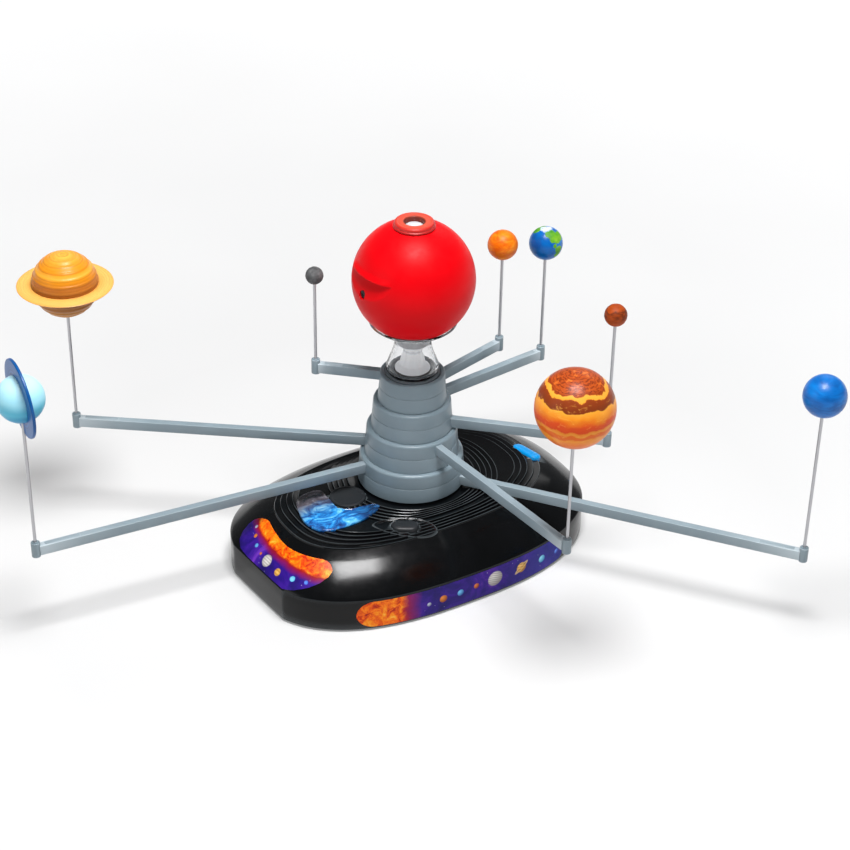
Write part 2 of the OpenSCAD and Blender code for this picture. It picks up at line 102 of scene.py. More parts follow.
def place(obj, body, stands_for=()):
    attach(obj, body)
    if stands_for:
        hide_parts(*([stands_for] if isinstance(stands_for, str) else stands_for))


def skin(loops, closed=False, caps=True):
    """Faces through loops of equal length. closed joins the last loop to the first."""
    n = len(loops[0])
    verts = [p for loop in loops for p in loop]
    faces = []
    count = len(loops)
    for j in range(count if closed else count - 1):
        a, b = j * n, ((j + 1) % count) * n
        for i in range(n):
            k = (i + 1) % n
            faces.append((a + i, a + k, b + k, b + i))
    if caps and not closed:
        faces.append(tuple(reversed(range(n))))
        faces.append(tuple(range((count - 1) * n, count * n)))
    return verts, faces


def rounded(profile, radius, steps=4, closed=True):
    """A polyline with its corners rounded by up to radius, or by a point's own third value."""
    out = []
    n = len(profile)
    for i, p in enumerate(profile):
        here = Vector(p[:2])
        if not closed and i in (0, n - 1):
            out.append(tuple(here))
            continue
        back = Vector(profile[i - 1][:2]) - here
        on = Vector(profile[(i + 1) % n][:2]) - here
        want = p[2] if len(p) > 2 else radius
        cut = min(want, back.length * 0.45, on.length * 0.45)
        if cut < 1e-4 or back.angle(on, math.pi) > math.radians(176):
            out.append(tuple(here))
            continue
        start, end = here + back.normalized() * cut, here + on.normalized() * cut
        for k in range(steps + 1):
            t = k / steps
            out.append(tuple(start * (1 - t) ** 2 + here * 2 * t * (1 - t) + end * t * t))
    return out


def turned(profile, turns=128, closed=True):
    """Points (r, z) turned about Z. An open profile starts and ends on the axis."""
    if closed:
        loops = [[(r * math.cos(2 * math.pi * i / turns), r * math.sin(2 * math.pi * i / turns), z)
                  for i in range(turns)] for r, z in profile]
        return skin(loops, closed=True)
    inner = profile[1:-1]
    verts = [(r * math.cos(2 * math.pi * i / turns), r * math.sin(2 * math.pi * i / turns), z)
             for r, z in inner for i in range(turns)]
    faces = []
    for j in range(len(inner) - 1):
        for i in range(turns):
            k = (i + 1) % turns
            a, b = j * turns, (j + 1) * turns
            faces.append((a + i, a + k, b + k, b + i))
    first, last = len(verts), len(verts) + 1
    verts += [(0, 0, profile[0][1]), (0, 0, profile[-1][1])]
    top = (len(inner) - 1) * turns
    for i in range(turns):
        k = (i + 1) % turns
        faces.append((first, k, i))
        faces.append((last, top + i, top + k))
    return verts, faces


def moved(verts, matrix):
    return [tuple(matrix @ Vector(v)) for v in verts]


def merged(*parts):
    """Several (verts, faces) as one."""
    verts, faces = [], []
    for v, f in parts:
        base = len(verts)
        verts += v
        faces += [tuple(base + i for i in face) for face in f]
    return verts, faces


def prism(outline, levels):
    """Loft of a 2-D outline through levels of (grow, z); grow moves it along its normals."""
    n = len(outline)
    loops = []
    for grow, z in levels:
        loop = []
        for i, p in enumerate(outline):
            a, b = Vector(outline[i - 1]), Vector(outline[(i + 1) % n])
            t = (b - a).normalized()
            loop.append((p[0] + t.y * grow, p[1] - t.x * grow, z))
        loops.append(loop)
    return skin(loops)


def pill_outline(length, width, steps=24):
    r = width / 2
    s = length / 2 - r
    right = [(s + r * math.sin(math.pi * i / steps), -r * math.cos(math.pi * i / steps))
             for i in range(steps + 1)]
    left = [(-x, -y) for x, y in right]
    return right + left


def boxy_outline(length, width, corner, steps=5):
    out = []
    for sx, sy, a0 in ((1, -1, -90), (1, 1, 0), (-1, 1, 90), (-1, -1, 180)):
        cx, cy = sx * (length / 2 - corner), sy * (width / 2 - corner)
        for i in range(steps + 1):
            a = math.radians(a0 + 90 * i / steps)
            out.append((cx + corner * math.cos(a), cy + corner * math.sin(a)))
    return out


def cut(obj, *shapes):
    """Takes closed (verts, faces) shapes, in mm in the row frame, out of an object's mesh."""
    for verts, faces in shapes:
        mesh = bpy.data.meshes.new("cutter")
        mesh.from_pydata([Vector(v) * MM for v in verts], [], faces)
        bm = bmesh.new()
        bm.from_mesh(mesh)
        bmesh.ops.recalc_face_normals(bm, faces=bm.faces)
        bm.to_mesh(mesh)
        bm.free()
        tool = bpy.data.objects.new("cutter", mesh)
        bpy.context.scene.collection.objects.link(tool)
        mod = obj.modifiers.new("cut", "BOOLEAN")
        mod.operation = "DIFFERENCE"
        mod.solver = "EXACT"
        mod.object = tool
        bpy.context.view_layer.update()
        done = bpy.data.meshes.new_from_object(
            obj.evaluated_get(bpy.context.evaluated_depsgraph_get()))
        obj.modifiers.remove(mod)
        obj.data = done
        bpy.data.objects.remove(tool)
    shade(obj.data, 30)


def cut_local(obj, *shapes):
    """As cut, for an object whose mesh is set round its own place."""
    back = Matrix.Translation(-obj.location / MM)
    here = obj.location.copy()
    obj.location = (0, 0, 0)
    cut(obj, *((moved(v, back), f) for v, f in shapes))
    obj.location = here


# ---- Materials -------------------------------------------------------------

class Paint:
    """A Principled material with helpers for its nodes."""

    def __init__(self, name, rough=0.4, **sockets):
        self.material = bpy.data.materials.new(name)
        self.material.use_nodes = True
        self.tree = self.material.node_tree
        self.shader = self.tree.nodes["Principled BSDF"]
        self.shader.inputs["Roughness"].default_value = rough
        for key, value in sockets.items():
            self.shader.inputs[key.replace("_", " ")].default_value = value
        self.coords = self.tree.nodes.new("ShaderNodeTexCoord")

    def node(self, kind, inputs=None, **props):
        made = self.tree.nodes.new("ShaderNode" + kind)
        for key, value in props.items():
            setattr(made, key, value)
        for key, value in (inputs or {}).items():
            if isinstance(value, bpy.types.NodeSocket):
                self.tree.links.new(value, made.inputs[key])
            else:
                made.inputs[key].default_value = value
        return made

    def at(self, stretch=(1, 1, 1), source="Object"):
        m = self.node("Mapping", {"Vector": self.coords.outputs[source], "Scale": stretch})
        return m.outputs["Vector"]

    def noise(self, scale, detail=3, rough=0.5, stretch=(1, 1, 1), distortion=0.0, source="Object"):
        made = self.node("TexNoise", {
            "Vector": self.at(stretch, source), "Scale": scale, "Detail": detail,
            "Roughness": rough, "Distortion": distortion})
        return made.outputs["Fac"]

    def math(self, op, a, b=0.0, clamp=False):
        made = self.node("Math", operation=op, use_clamp=clamp)
        for i, value in enumerate((a, b)):
            if isinstance(value, bpy.types.NodeSocket):
                self.tree.links.new(value, made.inputs[i])
            else:
                made.inputs[i].default_value = value
        return made.outputs[0]

    def ramp(self, value, stops, smooth=False):
        made = self.node("ValToRGB", {"Fac": value})
        made.color_ramp.interpolation = "EASE" if smooth else "LINEAR"
        marks = made.color_ramp.elements
        while len(marks) < len(stops):
            marks.new(0.5)
        for mark, (pos, colour) in zip(marks, sorted(stops, key=lambda s: s[0])):
            mark.position = pos
            mark.color = (*colour, 1)
        return made.outputs["Color"]

    def mix(self, share, a, b):
        made = self.node("Mix", data_type="RGBA")
        for key, value in ((0, share), (6, a), (7, b)):
            if isinstance(value, bpy.types.NodeSocket):
                self.tree.links.new(value, made.inputs[key])
            else:
                made.inputs[key].default_value = (*value, 1) if isinstance(value, tuple) else value
        return made.outputs[2]

    def spread(self, value, low, high, to_low=0.0, to_high=1.0):
        made = self.node("MapRange", {
            "Value": value, "From Min": low, "From Max": high, "To Min": to_low, "To Max": to_high})
        return made.outputs["Result"]

    def colour(self, socket):
        self.tree.links.new(socket, self.shader.inputs["Base Color"])
        return self

    def roughness(self, socket):
        self.tree.links.new(socket, self.shader.inputs["Roughness"])
        return self

    def bump(self, height, distance=0.0001, strength=0.5):
        made = self.node("Bump", {"Height": height, "Distance": distance, "Strength": strength})
        self.tree.links.new(made.outputs["Normal"], self.shader.inputs["Normal"])
        return self

    def axis(self, name, source="Object"):
        split = self.node("SeparateXYZ", {"Vector": self.coords.outputs[source]})
        return split.outputs[name]


def tint(colour, k):
    return tuple(c * k for c in colour)


def moulded(name, colour, rough, vary=0.12, grain=900, bump=0.25, **sockets):
    """Moulded or painted plastic: slight colour drift, satin grain and uneven gloss."""
    p = Paint(name, rough, **sockets)
    drift = p.noise(45, 4)
    p.colour(p.ramp(drift, [(0.3, tint(colour, 1 - vary)), (0.7, tint(colour, 1 + vary))]))
    p.roughness(p.spread(p.noise(160, 5, 0.6), 0.3, 0.7, rough * 0.85, min(1, rough * 1.18)))
    p.bump(p.noise(grain, 3), 0.00006, bump)
    return p


def srgb(r, g, b):
    def lin(v):
        v /= 255
        return v / 12.92 if v <= 0.04045 else ((v + 0.055) / 1.055) ** 2.4
    return (lin(r), lin(g), lin(b))


def dress(obj, paint):
    obj.data.materials.clear()
    obj.data.materials.append(paint.material)


def dress_cad(node, paint):
    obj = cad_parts[node]
    for s in obj.material_slots:
        s.link = "OBJECT"
        s.material = paint.material
    return obj


def gloss_black():
    """Black gloss plastic with a painted highlight: its colour turns paler along crests and edges,
    where they catch the light.
    """
    p = Paint("base_gloss", 0.17, Specular_IOR_Level=0.24)
    drift = p.noise(45, 4)
    plain = p.ramp(drift, [(0.3, srgb(3, 4, 5)), (0.7, srgb(6, 7, 9))])
    # painted highlight: pointiness picks out crests and edges, which are mixed toward pale grey
    crest_highlight = p.node("NewGeometry").outputs["Pointiness"]
    p.colour(p.mix(p.spread(crest_highlight, 0.515, 0.6, 0, 1), plain, srgb(104, 112, 116)))
    p.roughness(p.spread(p.noise(160, 5, 0.6), 0.3, 0.7, 0.14, 0.2))
    p.bump(p.noise(1400, 3), 0.00005, 0.1)
    return p


BLACK = gloss_black()


def satin_grey():
    """Blue-grey satin plastic with a painted highlight: its colour turns paler along edges and
    rims, where they catch the light.
    """
    p = Paint("column_satin", 0.32, Specular_IOR_Level=0.4)
    plain = p.ramp(p.noise(45, 4), [(0.3, srgb(121, 137, 146)), (0.7, srgb(127, 144, 153))])
    # painted highlight: pointiness picks out the rims and edges, which are mixed toward pale
    # blue-grey
    edge = p.node("NewGeometry").outputs["Pointiness"]
    p.colour(p.mix(p.spread(edge, 0.515, 0.59, 0, 0.9), plain, srgb(196, 208, 214)))
    p.roughness(p.spread(p.noise(160, 5, 0.6), 0.3, 0.7, 0.29, 0.37))
    p.bump(p.noise(1500, 3), 0.00005, 0.15)
    return p


GREY = satin_grey()
MATT_BLACK = moulded("base_satin", srgb(38, 39, 42), 0.5, 0.12, 1100, 0.5)
BUTTON = moulded("button_satin", srgb(32, 35, 38), 0.42, 0.1, 1200, 0.4, Specular_IOR_Level=0.35)
POST = moulded("post_satin", srgb(36, 37, 40), 0.45, 0.1)
RUBBER = moulded("foot_rubber", srgb(44, 44, 45), 0.85, 0.15, 700, 0.8)
RED = moulded("sun_satin", srgb(206, 0, 10), 0.42, 0.03, 1500, 0.12, Specular_IOR_Level=0.1)
# painted glow: a faint red emission brightens the unlit sun shell
RED.shader.inputs["Emission Color"].default_value = (0.9, 0.0, 0.008, 1)
RED.shader.inputs["Emission Strength"].default_value = 0.07
PALE = moulded("swivel_pale", srgb(196, 198, 201), 0.3, 0.05, 900, 0.3)
POWER = moulded("power_gloss", srgb(0, 142, 214), 0.25, 0.06, 1200, 0.15, Specular_IOR_Level=0.35)


def metal(name, colour, rough, stretch):
    p = Paint(name, rough, Metallic=1.0)
    streak = p.noise(500, 4, 0.6, stretch)
    p.colour(p.ramp(streak, [(0.3, tint(colour, 0.86)), (0.7, colour)]))
    p.roughness(p.spread(streak, 0.3, 0.7, rough * 0.8, rough * 1.3))
    p.bump(streak, 0.00003, 0.3)
    return p


STEEL = metal("rod_wire", (0.5, 0.5, 0.52), 0.38, (1, 1, 0.04))
ZINC = metal("screw_zinc", (0.62, 0.62, 0.64), 0.35, (1, 1, 1))
DARK_SCREW = moulded("screw_dark", srgb(22, 22, 24), 0.5, 0.15, 900, 0.4, Specular_IOR_Level=0.3)

# ---- Base case -------------------------------------------------------------

TURNS = 360
RIDGE_START = 31.5
FACET_AT = Vector((-143.4, 20.0))
FACET_OUT = Vector((-0.998, -0.0638))
FACET_FADE = 24.0


def rim(degrees, inset):
    def power(v):
        return math.copysign(abs(v) ** (2 / SQUARENESS), v)
    a = math.radians(degrees)
    p = Vector((BASE_MID.x + (HALF_L - inset) * power(math.cos(a)),
                BASE_MID.y + (HALF_W - inset) * power(math.sin(a))))
    proud = (p - FACET_AT).dot(FACET_OUT) + inset
    if proud > 0:
        p -= FACET_OUT * proud * 0.94 * max(0, 1 - inset / FACET_FADE)
    return p


def inset_of(p):
    x, y = abs(p.x - BASE_MID.x), abs(p.y - BASE_MID.y)
    low, high = 0.0, HALF_W
    for _ in range(28):
        m = (low + high) / 2
        inside = (x / (HALF_L - m)) ** SQUARENESS + (y / max(HALF_W - m, 1e-6)) ** SQUARENESS < 1
        low, high = (m, high) if inside else (low, m)
    return low


def deck_z(inset):
    k = min(max(inset / SHOULDER, 0), 1)
    return WALL_TOP + (DECK - WALL_TOP) * (1 - (1 - k) ** 2)


def deck_point(x, y, lift=0.0):
    return (x, y, deck_z(inset_of(Vector((x, y)))) + lift)


OUTER_RIDGES = 5
INNER_RIDGES = 5
COLLAR_CLEAR = 45.5


def ridge_share(degrees, k):
    """How far from the outermost ridge (0) to the column (1) ridge k lies at this angle."""
    out = rim(degrees, RIDGE_START)
    a = math.radians(degrees)
    ring = Vector((math.cos(a), math.sin(a))) * COLLAR_CLEAR
    gap = (out - ring).length
    step_out = min(5.0 / gap, 0.5 / OUTER_RIDGES)
    step_in = min(4.2 / gap, 0.42 / INNER_RIDGES)
    if k < OUTER_RIDGES:
        return k * step_out, gap
    return 1 - (OUTER_RIDGES + INNER_RIDGES - k) * step_in, gap


def ridge_point(degrees, share):
    out = rim(degrees, RIDGE_START)
    a = math.radians(degrees)
    ring = Vector((math.cos(a), math.sin(a))) * COLLAR_CLEAR
    return out.lerp(ring, share)


def base_case():
    angles = [360 * i / TURNS for i in range(TURNS)]
    loops = []

    def ring(inset, z):
        loops.append([(*rim(a, inset), z) for a in angles])

    foot = SHELL_LO.z
    t = 2.5
    ring(t, foot)
    ring(0.7, foot)
    ring(0.2, foot + 0.2)
    ring(0, foot + 0.7)
    ring(0, 10)
    ring(0, 19)
    ring(0, WALL_TOP - 0.5)
    ring(0.1, WALL_TOP - 0.12)
    ring(0.35, WALL_TOP + 0.2)
    for inset in [0.8 + 23.2 * (i / 16) for i in range(17)]:
        ring(inset, deck_z(inset))
    high = 1.0
    for k in range(OUTER_RIDGES + INNER_RIDGES):
        for offset, lift in ((0.0, -0.1), (0.3, high * 0.75), (0.75, high), (1.4, high * 0.85)):
            loop = []
            for a in angles:
                share, gap = ridge_share(a, k)
                nearest = min(0.30 * (ridge_share(a, 1)[0]), 0.30 * (1 - ridge_share(a, 9)[0]))
                p = ridge_point(a, share + min(offset / gap, nearest * offset / 0.9))
                loop.append((p.x, p.y, deck_z(inset_of(p)) + lift))
            loops.append(loop)
    flat = [(COLLAR_CLEAR - 1, DECK + 0.2), (COLLAR_CLEAR - 3, DECK), (20, DECK), (20, DECK + 0.9),
            (14.1, DECK + 0.9)]
    for r, z in flat:
        loops.append([(r * math.cos(math.radians(a)), r * math.sin(math.radians(a)), z)
                      for a in angles])
    for r, z in ((14.1, 44.5), (24, 44.5)):
        loops.append([(r * math.cos(math.radians(a)), r * math.sin(math.radians(a)), z)
                      for a in angles])
    for inset in (45, 32, 20, 11, 5, 2.9):
        ring(inset, deck_z(inset) - 3.2)
    ring(t, WALL_TOP - 3)
    verts, faces = skin(loops, closed=True)
    obj = build("base_case", verts, faces, "base", "base_black", "base_shell", sharp=32)
    dress(obj, BLACK)
    return obj


def at_spot(x, y, turn=0.0):
    return Matrix.Translation((x, y, 0)) @ Matrix.Rotation(math.radians(turn), 4, "Z")


ROUND_AT = middle("round_button")
ROUND_R = (box_mm("round_button")[1].x - box_mm("round_button")[0].x) / 2 - 1.6
OVAL_AT = (-39.3, -56.0, -33.0)
POWER_MID = Vector((95.5, -16.0, 50.6))
POWER_FRAME = (Matrix.Translation(POWER_MID) @ Matrix.Rotation(math.radians(12), 4, "Z")
               @ Matrix.Rotation(math.radians(15), 4, "Y")
               @ Matrix.Rotation(math.radians(90), 4, "Z"))


def cut_base(case):
    round_hole, faces = turned([(0, 30), (ROUND_R + 0.35, 30), (ROUND_R + 0.35, 70), (0, 70)], 96,
                               closed=False)
    oval, oval_faces = prism(pill_outline(20.7, 12.7), [(0, 30), (0, 70)])
    power, power_faces = prism(pill_outline(26.7, 11.3), [(0, -9), (0, 14)])
    cut(case,
        (moved(round_hole, at_spot(ROUND_AT.x, ROUND_AT.y)), faces),
        (moved(oval, at_spot(*OVAL_AT)), oval_faces),
        (moved(power, POWER_FRAME), power_faces))
    dress(case, BLACK)


def controls():
    # round deck button: dished cap with a raised lip
    z = DECK
    profile = rounded([(0, z - 7.4), (3, z - 7.4), (3, z - 4.8), (ROUND_R + 1.6, z - 4.8),
                       (ROUND_R + 1.6, z - 2.8), (ROUND_R, z - 2.8), (ROUND_R, z + 1.8, 0.8),
                       (ROUND_R - 1.6, z + 1.8, 0.5), (ROUND_R - 2.4, z + 1.25, 0.5), (0, z + 1.5)],
                      0.25, closed=False)
    obj = build("round_button_cap", *turned(profile, 96, closed=False), "round_button",
                "button_black", "round_button", (ROUND_AT.x, ROUND_AT.y, 0))
    dress(obj, BUTTON)

    # oval button: domed cap standing in an eye-shaped surround
    top = DECK + 1.7
    levels = [(-3, DECK - 7.4), (1.5, DECK - 7.4), (1.5, DECK - 6.2), (0, DECK - 6.2),
              (0, top - 1.6), (-0.2, top - 0.9), (-0.7, top - 0.35), (-1.6, top + 0.05),
              (-3, top + 0.25),
              (-4.6, top + 0.3)]
    verts, faces = prism(pill_outline(20, 12), levels)
    obj = build("oval_button_cap", moved(verts, at_spot(*OVAL_AT)), faces, "oval_button",
                "button_grey", "oval_button")
    dress(obj, BUTTON)

    def eye(length, width, steps=64):
        out = []
        for i in range(steps):
            a = 2 * math.pi * i / steps
            pull = 1 - 0.18 * (1 - math.cos(a)) / 2
            out.append((length / 2 * math.cos(a),
                        width / 2 * math.copysign(abs(math.sin(a)) ** 1.15, math.sin(a)) * pull))
        return out
    hole = pill_outline(21, 13, 31)
    outer = eye(49, 22)
    frame_of = at_spot(*OVAL_AT)
    loops = []
    order = sorted(range(len(outer)), key=lambda i: math.atan2(outer[i][1], outer[i][0]))
    outer = [outer[i] for i in order]
    hole = sorted(hole, key=lambda p: math.atan2(p[1], p[0]))
    for share, lift in ((0, -2), (0, 0.1), (0.04, 0.75), (0.1, 0.95), (0.18, 0.8), (0.3, 0.25),
                        (0.75, 0.1), (0.93, 0.3), (1, 0.2), (1, -2)):
        loop = []
        for o, h in zip(outer, hole):
            x, y = o[0] + (h[0] - o[0]) * share, o[1] + (h[1] - o[1]) * share
            p = frame_of @ Vector((x, y, 0))
            loop.append(deck_point(p.x, p.y, lift))
        loops.append(loop)
    verts, faces = skin(loops, closed=True)
    obj = build("oval_surround", verts, faces, "base", "base_black", sharp=50)
    dress(obj, BLACK)

    # power button: long domed bar
    levels = [(-3, -8.5), (-3, -6), (0, -6), (0, 0.5), (-0.15, 1.1), (-0.55, 1.6), (-1.2, 2.0),
              (-2.1, 2.25), (-3.2, 2.35), (-4.6, 2.4)]
    verts, faces = prism(pill_outline(26, 10.6), levels)
    obj = build("power_button_cap", moved(verts, POWER_FRAME), faces, "power_button", "power_blue",
                "power_button")
    dress(obj, POWER)


# ---- Column: rings, arms, rods ---------------------------------------------

def column_ring(i, name):
    lo, hi = box_mm(name + "_collar")
    low_r = (hi.x - lo.x) / 2
    z0, z1 = lo.z, hi.z
    r_top = low_r - 0.9
    bore = 14.08
    if i == 0:
        top = [(r_top + 0.1, z1 - 0.9, 0.6), (r_top - 0.7, z1, 0.7), (r_top - 2.9, z1, 0.5),
               (20.9, z1 - 1.9), (bore, z1 - 1.9)]
    elif i % 2 == 0:
        top = [(r_top + 0.12, z1 - 1.1, 0.8), (r_top - 1.1, z1, 0.9), (bore, z1)]
    else:
        top = [(r_top + 0.02, z1, 0.22), (bore, z1)]
    foot = [(low_r, z0, 0.3)] if i % 2 else [(low_r - 0.02, z0, 0.18)]
    profile = rounded([(bore, z0 + 0.9), (20.1, z0 + 0.9), (20.1, z0)] + foot + top,
                      0.15, 5)
    obj = build(name + "_ring_shell", *turned(profile, 192), name, "column_grey", name + "_collar",
                sharp=35)
    dress(obj, GREY)


def heading_of(name):
    rod = middle(name + "_rod")
    return math.atan2(rod.y, rod.x), math.hypot(rod.x, rod.y), rod


def arm_bar(name):
    angle, reach = heading_of(name)[:2]
    ring_lo, ring_hi = box_mm(name + "_collar")
    root = (ring_hi.x - ring_lo.x) / 2 - 8
    z0 = ring_lo.z + 1.4
    w, h = 5.6, 7.8
    c = 0.45
    section = rounded([(-w / 2, 0), (w / 2, 0), (w / 2, h), (-w / 2, h)], c, 3)
    loops = [[(x, y, z0 + z) for y, z in section] for x in (root, root + 5)]
    steps = 8
    for k in range(1, steps + 1):
        x = root + 5 + (reach - 2.4 - root - 5) * k / steps
        loops.append([(x, y, z0 + z) for y, z in section])
    bar = skin(loops)
    # upright hub at the outer end, with a chamfered top and a small collar round the rod
    hub = rounded([(0, z0 - 1.2), (3.3, z0 - 1.2, 0.5), (3.3, z0 + 10.6, 0.6),
                   (2.2, z0 + 10.6, 0.2), (2.0, z0 + 11.4, 0.2), (1.2, z0 + 11.4),
                   (1.2, z0 + 8)], 0.2, 4, closed=False)
    hub.append((0, z0 + 8))
    hub_v, hub_f = turned(hub, 48, closed=False)
    hub_v = [(x + reach, y, z) for x, y, z in hub_v]
    # blank name plaque
    length = 26 if reach > 100 else 14
    x1 = reach - 6.7 - length / 2
    plaque_v, plaque_f = prism(boxy_outline(length, w * 0.64, 0.6),
                               [(0.1, -0.3), (0, 0.0), (-0.15, 0.28), (-0.4, 0.35)])
    plaque_v = [(x + x1, y, z + z0 + h) for x, y, z in plaque_v]
    verts, faces = merged(bar, (hub_v, hub_f), (plaque_v, plaque_f))
    verts = moved(verts, Matrix.Rotation(angle, 4, "Z"))
    obj = build(name + "_arm_bar", verts, faces, name, "column_grey", name + "_arm", sharp=35)
    dress(obj, GREY)


def wire(name):
    lo, hi = box_mm(name + "_rod")
    mid = (lo + hi) / 2
    r = (hi.x - lo.x) / 2
    profile = rounded([(0, lo.z), (r, lo.z), (r, hi.z), (0, hi.z)], 0.25, closed=False)
    obj = build(name + "_wire", *turned(profile, 32, closed=False), name, "rod_steel",
                name + "_rod", (mid.x, mid.y, 0))
    dress(obj, STEEL)


case = base_case()
cut_base(case)
controls()
for index, planet in enumerate(PLANETS):
    column_ring(index, planet)
    arm_bar(planet)
    wire(planet)

# ---- Sun -------------------------------------------------------------------

RECESS = math.radians(182.5)
BROW_Z = 14.5


def recess_radius(turn, z):
    """How far the recess face is from the sun's axis, at an angle from its middle and a height."""
    face = 38.6 + 0.4 * (BROW_Z - z)
    c = face - 87
    return c * math.cos(turn) + math.sqrt(max(87 ** 2 - (c * math.sin(turn)) ** 2, 0))


def sun_ball():
    turns = 360
    rows = []
    top = math.sqrt(SUN_R ** 2 - 12.75 ** 2)
    rows.append(("hole", 12.6, top - 3))
    rows.append(("hole", 12.6, top - 0.5))
    rows.append(("hole", 12.9, top - 0.1))
    a0 = math.degrees(math.asin(13.3 / SUN_R))
    a1 = math.degrees(math.acos((BROW_Z + 4.4) / SUN_R))
    for k in range(41):
        a = math.radians(a0 + (a1 - a0) * k / 40)
        rows.append(("ball", SUN_R * math.sin(a), SUN_R * math.cos(a)))
    for z, lip in ((BROW_Z + 3.9, 0.06), (BROW_Z + 3.2, 0.25), (BROW_Z + 2.5, 0.6),
                   (BROW_Z + 1.8, 1.05), (BROW_Z + 1.1, 1.45), (BROW_Z + 0.5, 1.6),
                   (BROW_Z, 1.4), (BROW_Z - 0.3, 0.8), (BROW_Z - 0.45, 0.1)):
        rows.append(("lip", lip, z))
    for z in [BROW_Z - 0.6 - 0.012 * k * k - 0.28 * k for k in range(33)]:
        rows.append(("face", 0, z))
    last = rows[-1][2]
    a0 = math.degrees(math.acos(last / SUN_R)) + 1.5
    a1 = 180 - math.degrees(math.asin(22.1 / SUN_R))
    for k in range(31):
        a = math.radians(a0 + (a1 - a0) * k / 30)
        rows.append(("ball", SUN_R * math.sin(a), SUN_R * math.cos(a)))
    low = rows[-1][2]
    rows.append(("hole", 21.9, low + 0.4))
    rows.append(("hole", 21.9, low + 2.2))
    loops = []
    for kind, value, z in rows:
        loop = []
        for i in range(turns):
            a = 2 * math.pi * i / turns
            turn = (a - RECESS + math.pi) % (2 * math.pi) - math.pi
            if kind in ("hole", "ball"):
                r = value
            else:
                full = math.sqrt(SUN_R ** 2 - z * z)
                inside = full - recess_radius(turn, z) if abs(turn) < 1.2 else -1
                r = full
                if kind == "lip":
                    under = math.sqrt(SUN_R ** 2 - BROW_Z ** 2) - recess_radius(turn, BROW_Z)
                    share = min(1.0, max(0.0, under) / 2.0) if abs(turn) < 1.2 else 0
                    r = full + value * share
                elif inside > 0:
                    r = full - inside
            loop.append((r * math.cos(a), r * math.sin(a), z))
        loops.append(loop)
    # inner wall
    for k in range(25):
        a = math.radians(148 - 128 * k / 24)
        r_in = 37.2 * math.sin(a)
        loops.append([(r_in * math.cos(2 * math.pi * i / turns),
                       r_in * math.sin(2 * math.pi * i / turns), 37.2 * math.cos(a))
                      for i in range(turns)])
    verts, faces = skin(loops, closed=True)
    obj = build("sun_body", moved(verts, Matrix.Translation((0, 0, SUN_Z))), faces, "sun",
                "sun_red", "sun_shell", sharp=38)
    hole_v, hole_f = turned([(0, 36), (1.9, 36), (1.9, 41.2), (3.4, 41.2), (3.4, 60), (0, 60)], 48,
                            closed=False)
    aim = (Matrix.Translation((0, 0, SUN_Z)) @ Matrix.Rotation(RECESS, 4, "Z")
           @ Matrix.Rotation(math.radians(90), 4, "Y"))
    cut(obj, (moved(hole_v, aim), hole_f))
    dress(obj, RED)
    # screw with a cross recess, sunk in its hole
    head = rounded([(0, 38), (1.45, 38), (1.45, 41.3), (3.3, 41.3), (3.3, 43.4, 0.5),
                    (0, 43.9)], 0.2,
                   closed=False)
    v, f = turned(head, 48, closed=False)
    screw = build("sun_screw_head", moved(v, aim), f, "sun", "screw_black", "sun_screw", sharp=35)
    cross_recess(screw, aim @ Matrix.Translation((0, 0, 43.9)), 1.9)
    dress(screw, DARK_SCREW)

    # lower cap with its seam and turning spigot
    cap = []
    for k in range(9):
        a = math.radians(180 - math.degrees(math.asin(21.7 / SUN_R)) + 12 * k / 8)
        cap.append((SUN_R * math.sin(a), SUN_R * math.cos(a)))
    profile = ([(19.5, -38.2), (21.7, -38.2)] + cap
               + [(12.4, -43.2), (12.4, -51.6), (12, -52), (10.6, -52), (10.6, -42), (19.5, -41)])
    turns = 180
    loops = []
    for r, z in profile:
        lobes = 0.35 if abs(r - 12.4) < 0.01 and z < -44 else 0
        loops.append([((r - lobes * (0.5 + 0.5 * math.cos(10 * a))) * math.cos(a),
                       (r - lobes * (0.5 + 0.5 * math.cos(10 * a))) * math.sin(a), z + SUN_Z)
                      for a in (2 * math.pi * i / turns for i in range(turns))])
    obj = build("sun_lower_cap", *skin(loops, closed=True), "sun", "lamp_grey", "sun_base_cap",
                sharp=40)
    dress(obj, PALE)


def cross_recess(obj, where, half, width=0.5, depth=0.9):
    """A cross driver slot cut into a screw head."""
    shapes = []
    for turn in (0, 90):
        v, f = prism(boxy_outline(half * 2, width, 0.05, 1), [(0, -depth), (0, 0.6)])
        shapes.append((moved(v, where @ Matrix.Rotation(math.radians(turn), 4, "Z")), f))
    cut(obj, *shapes)


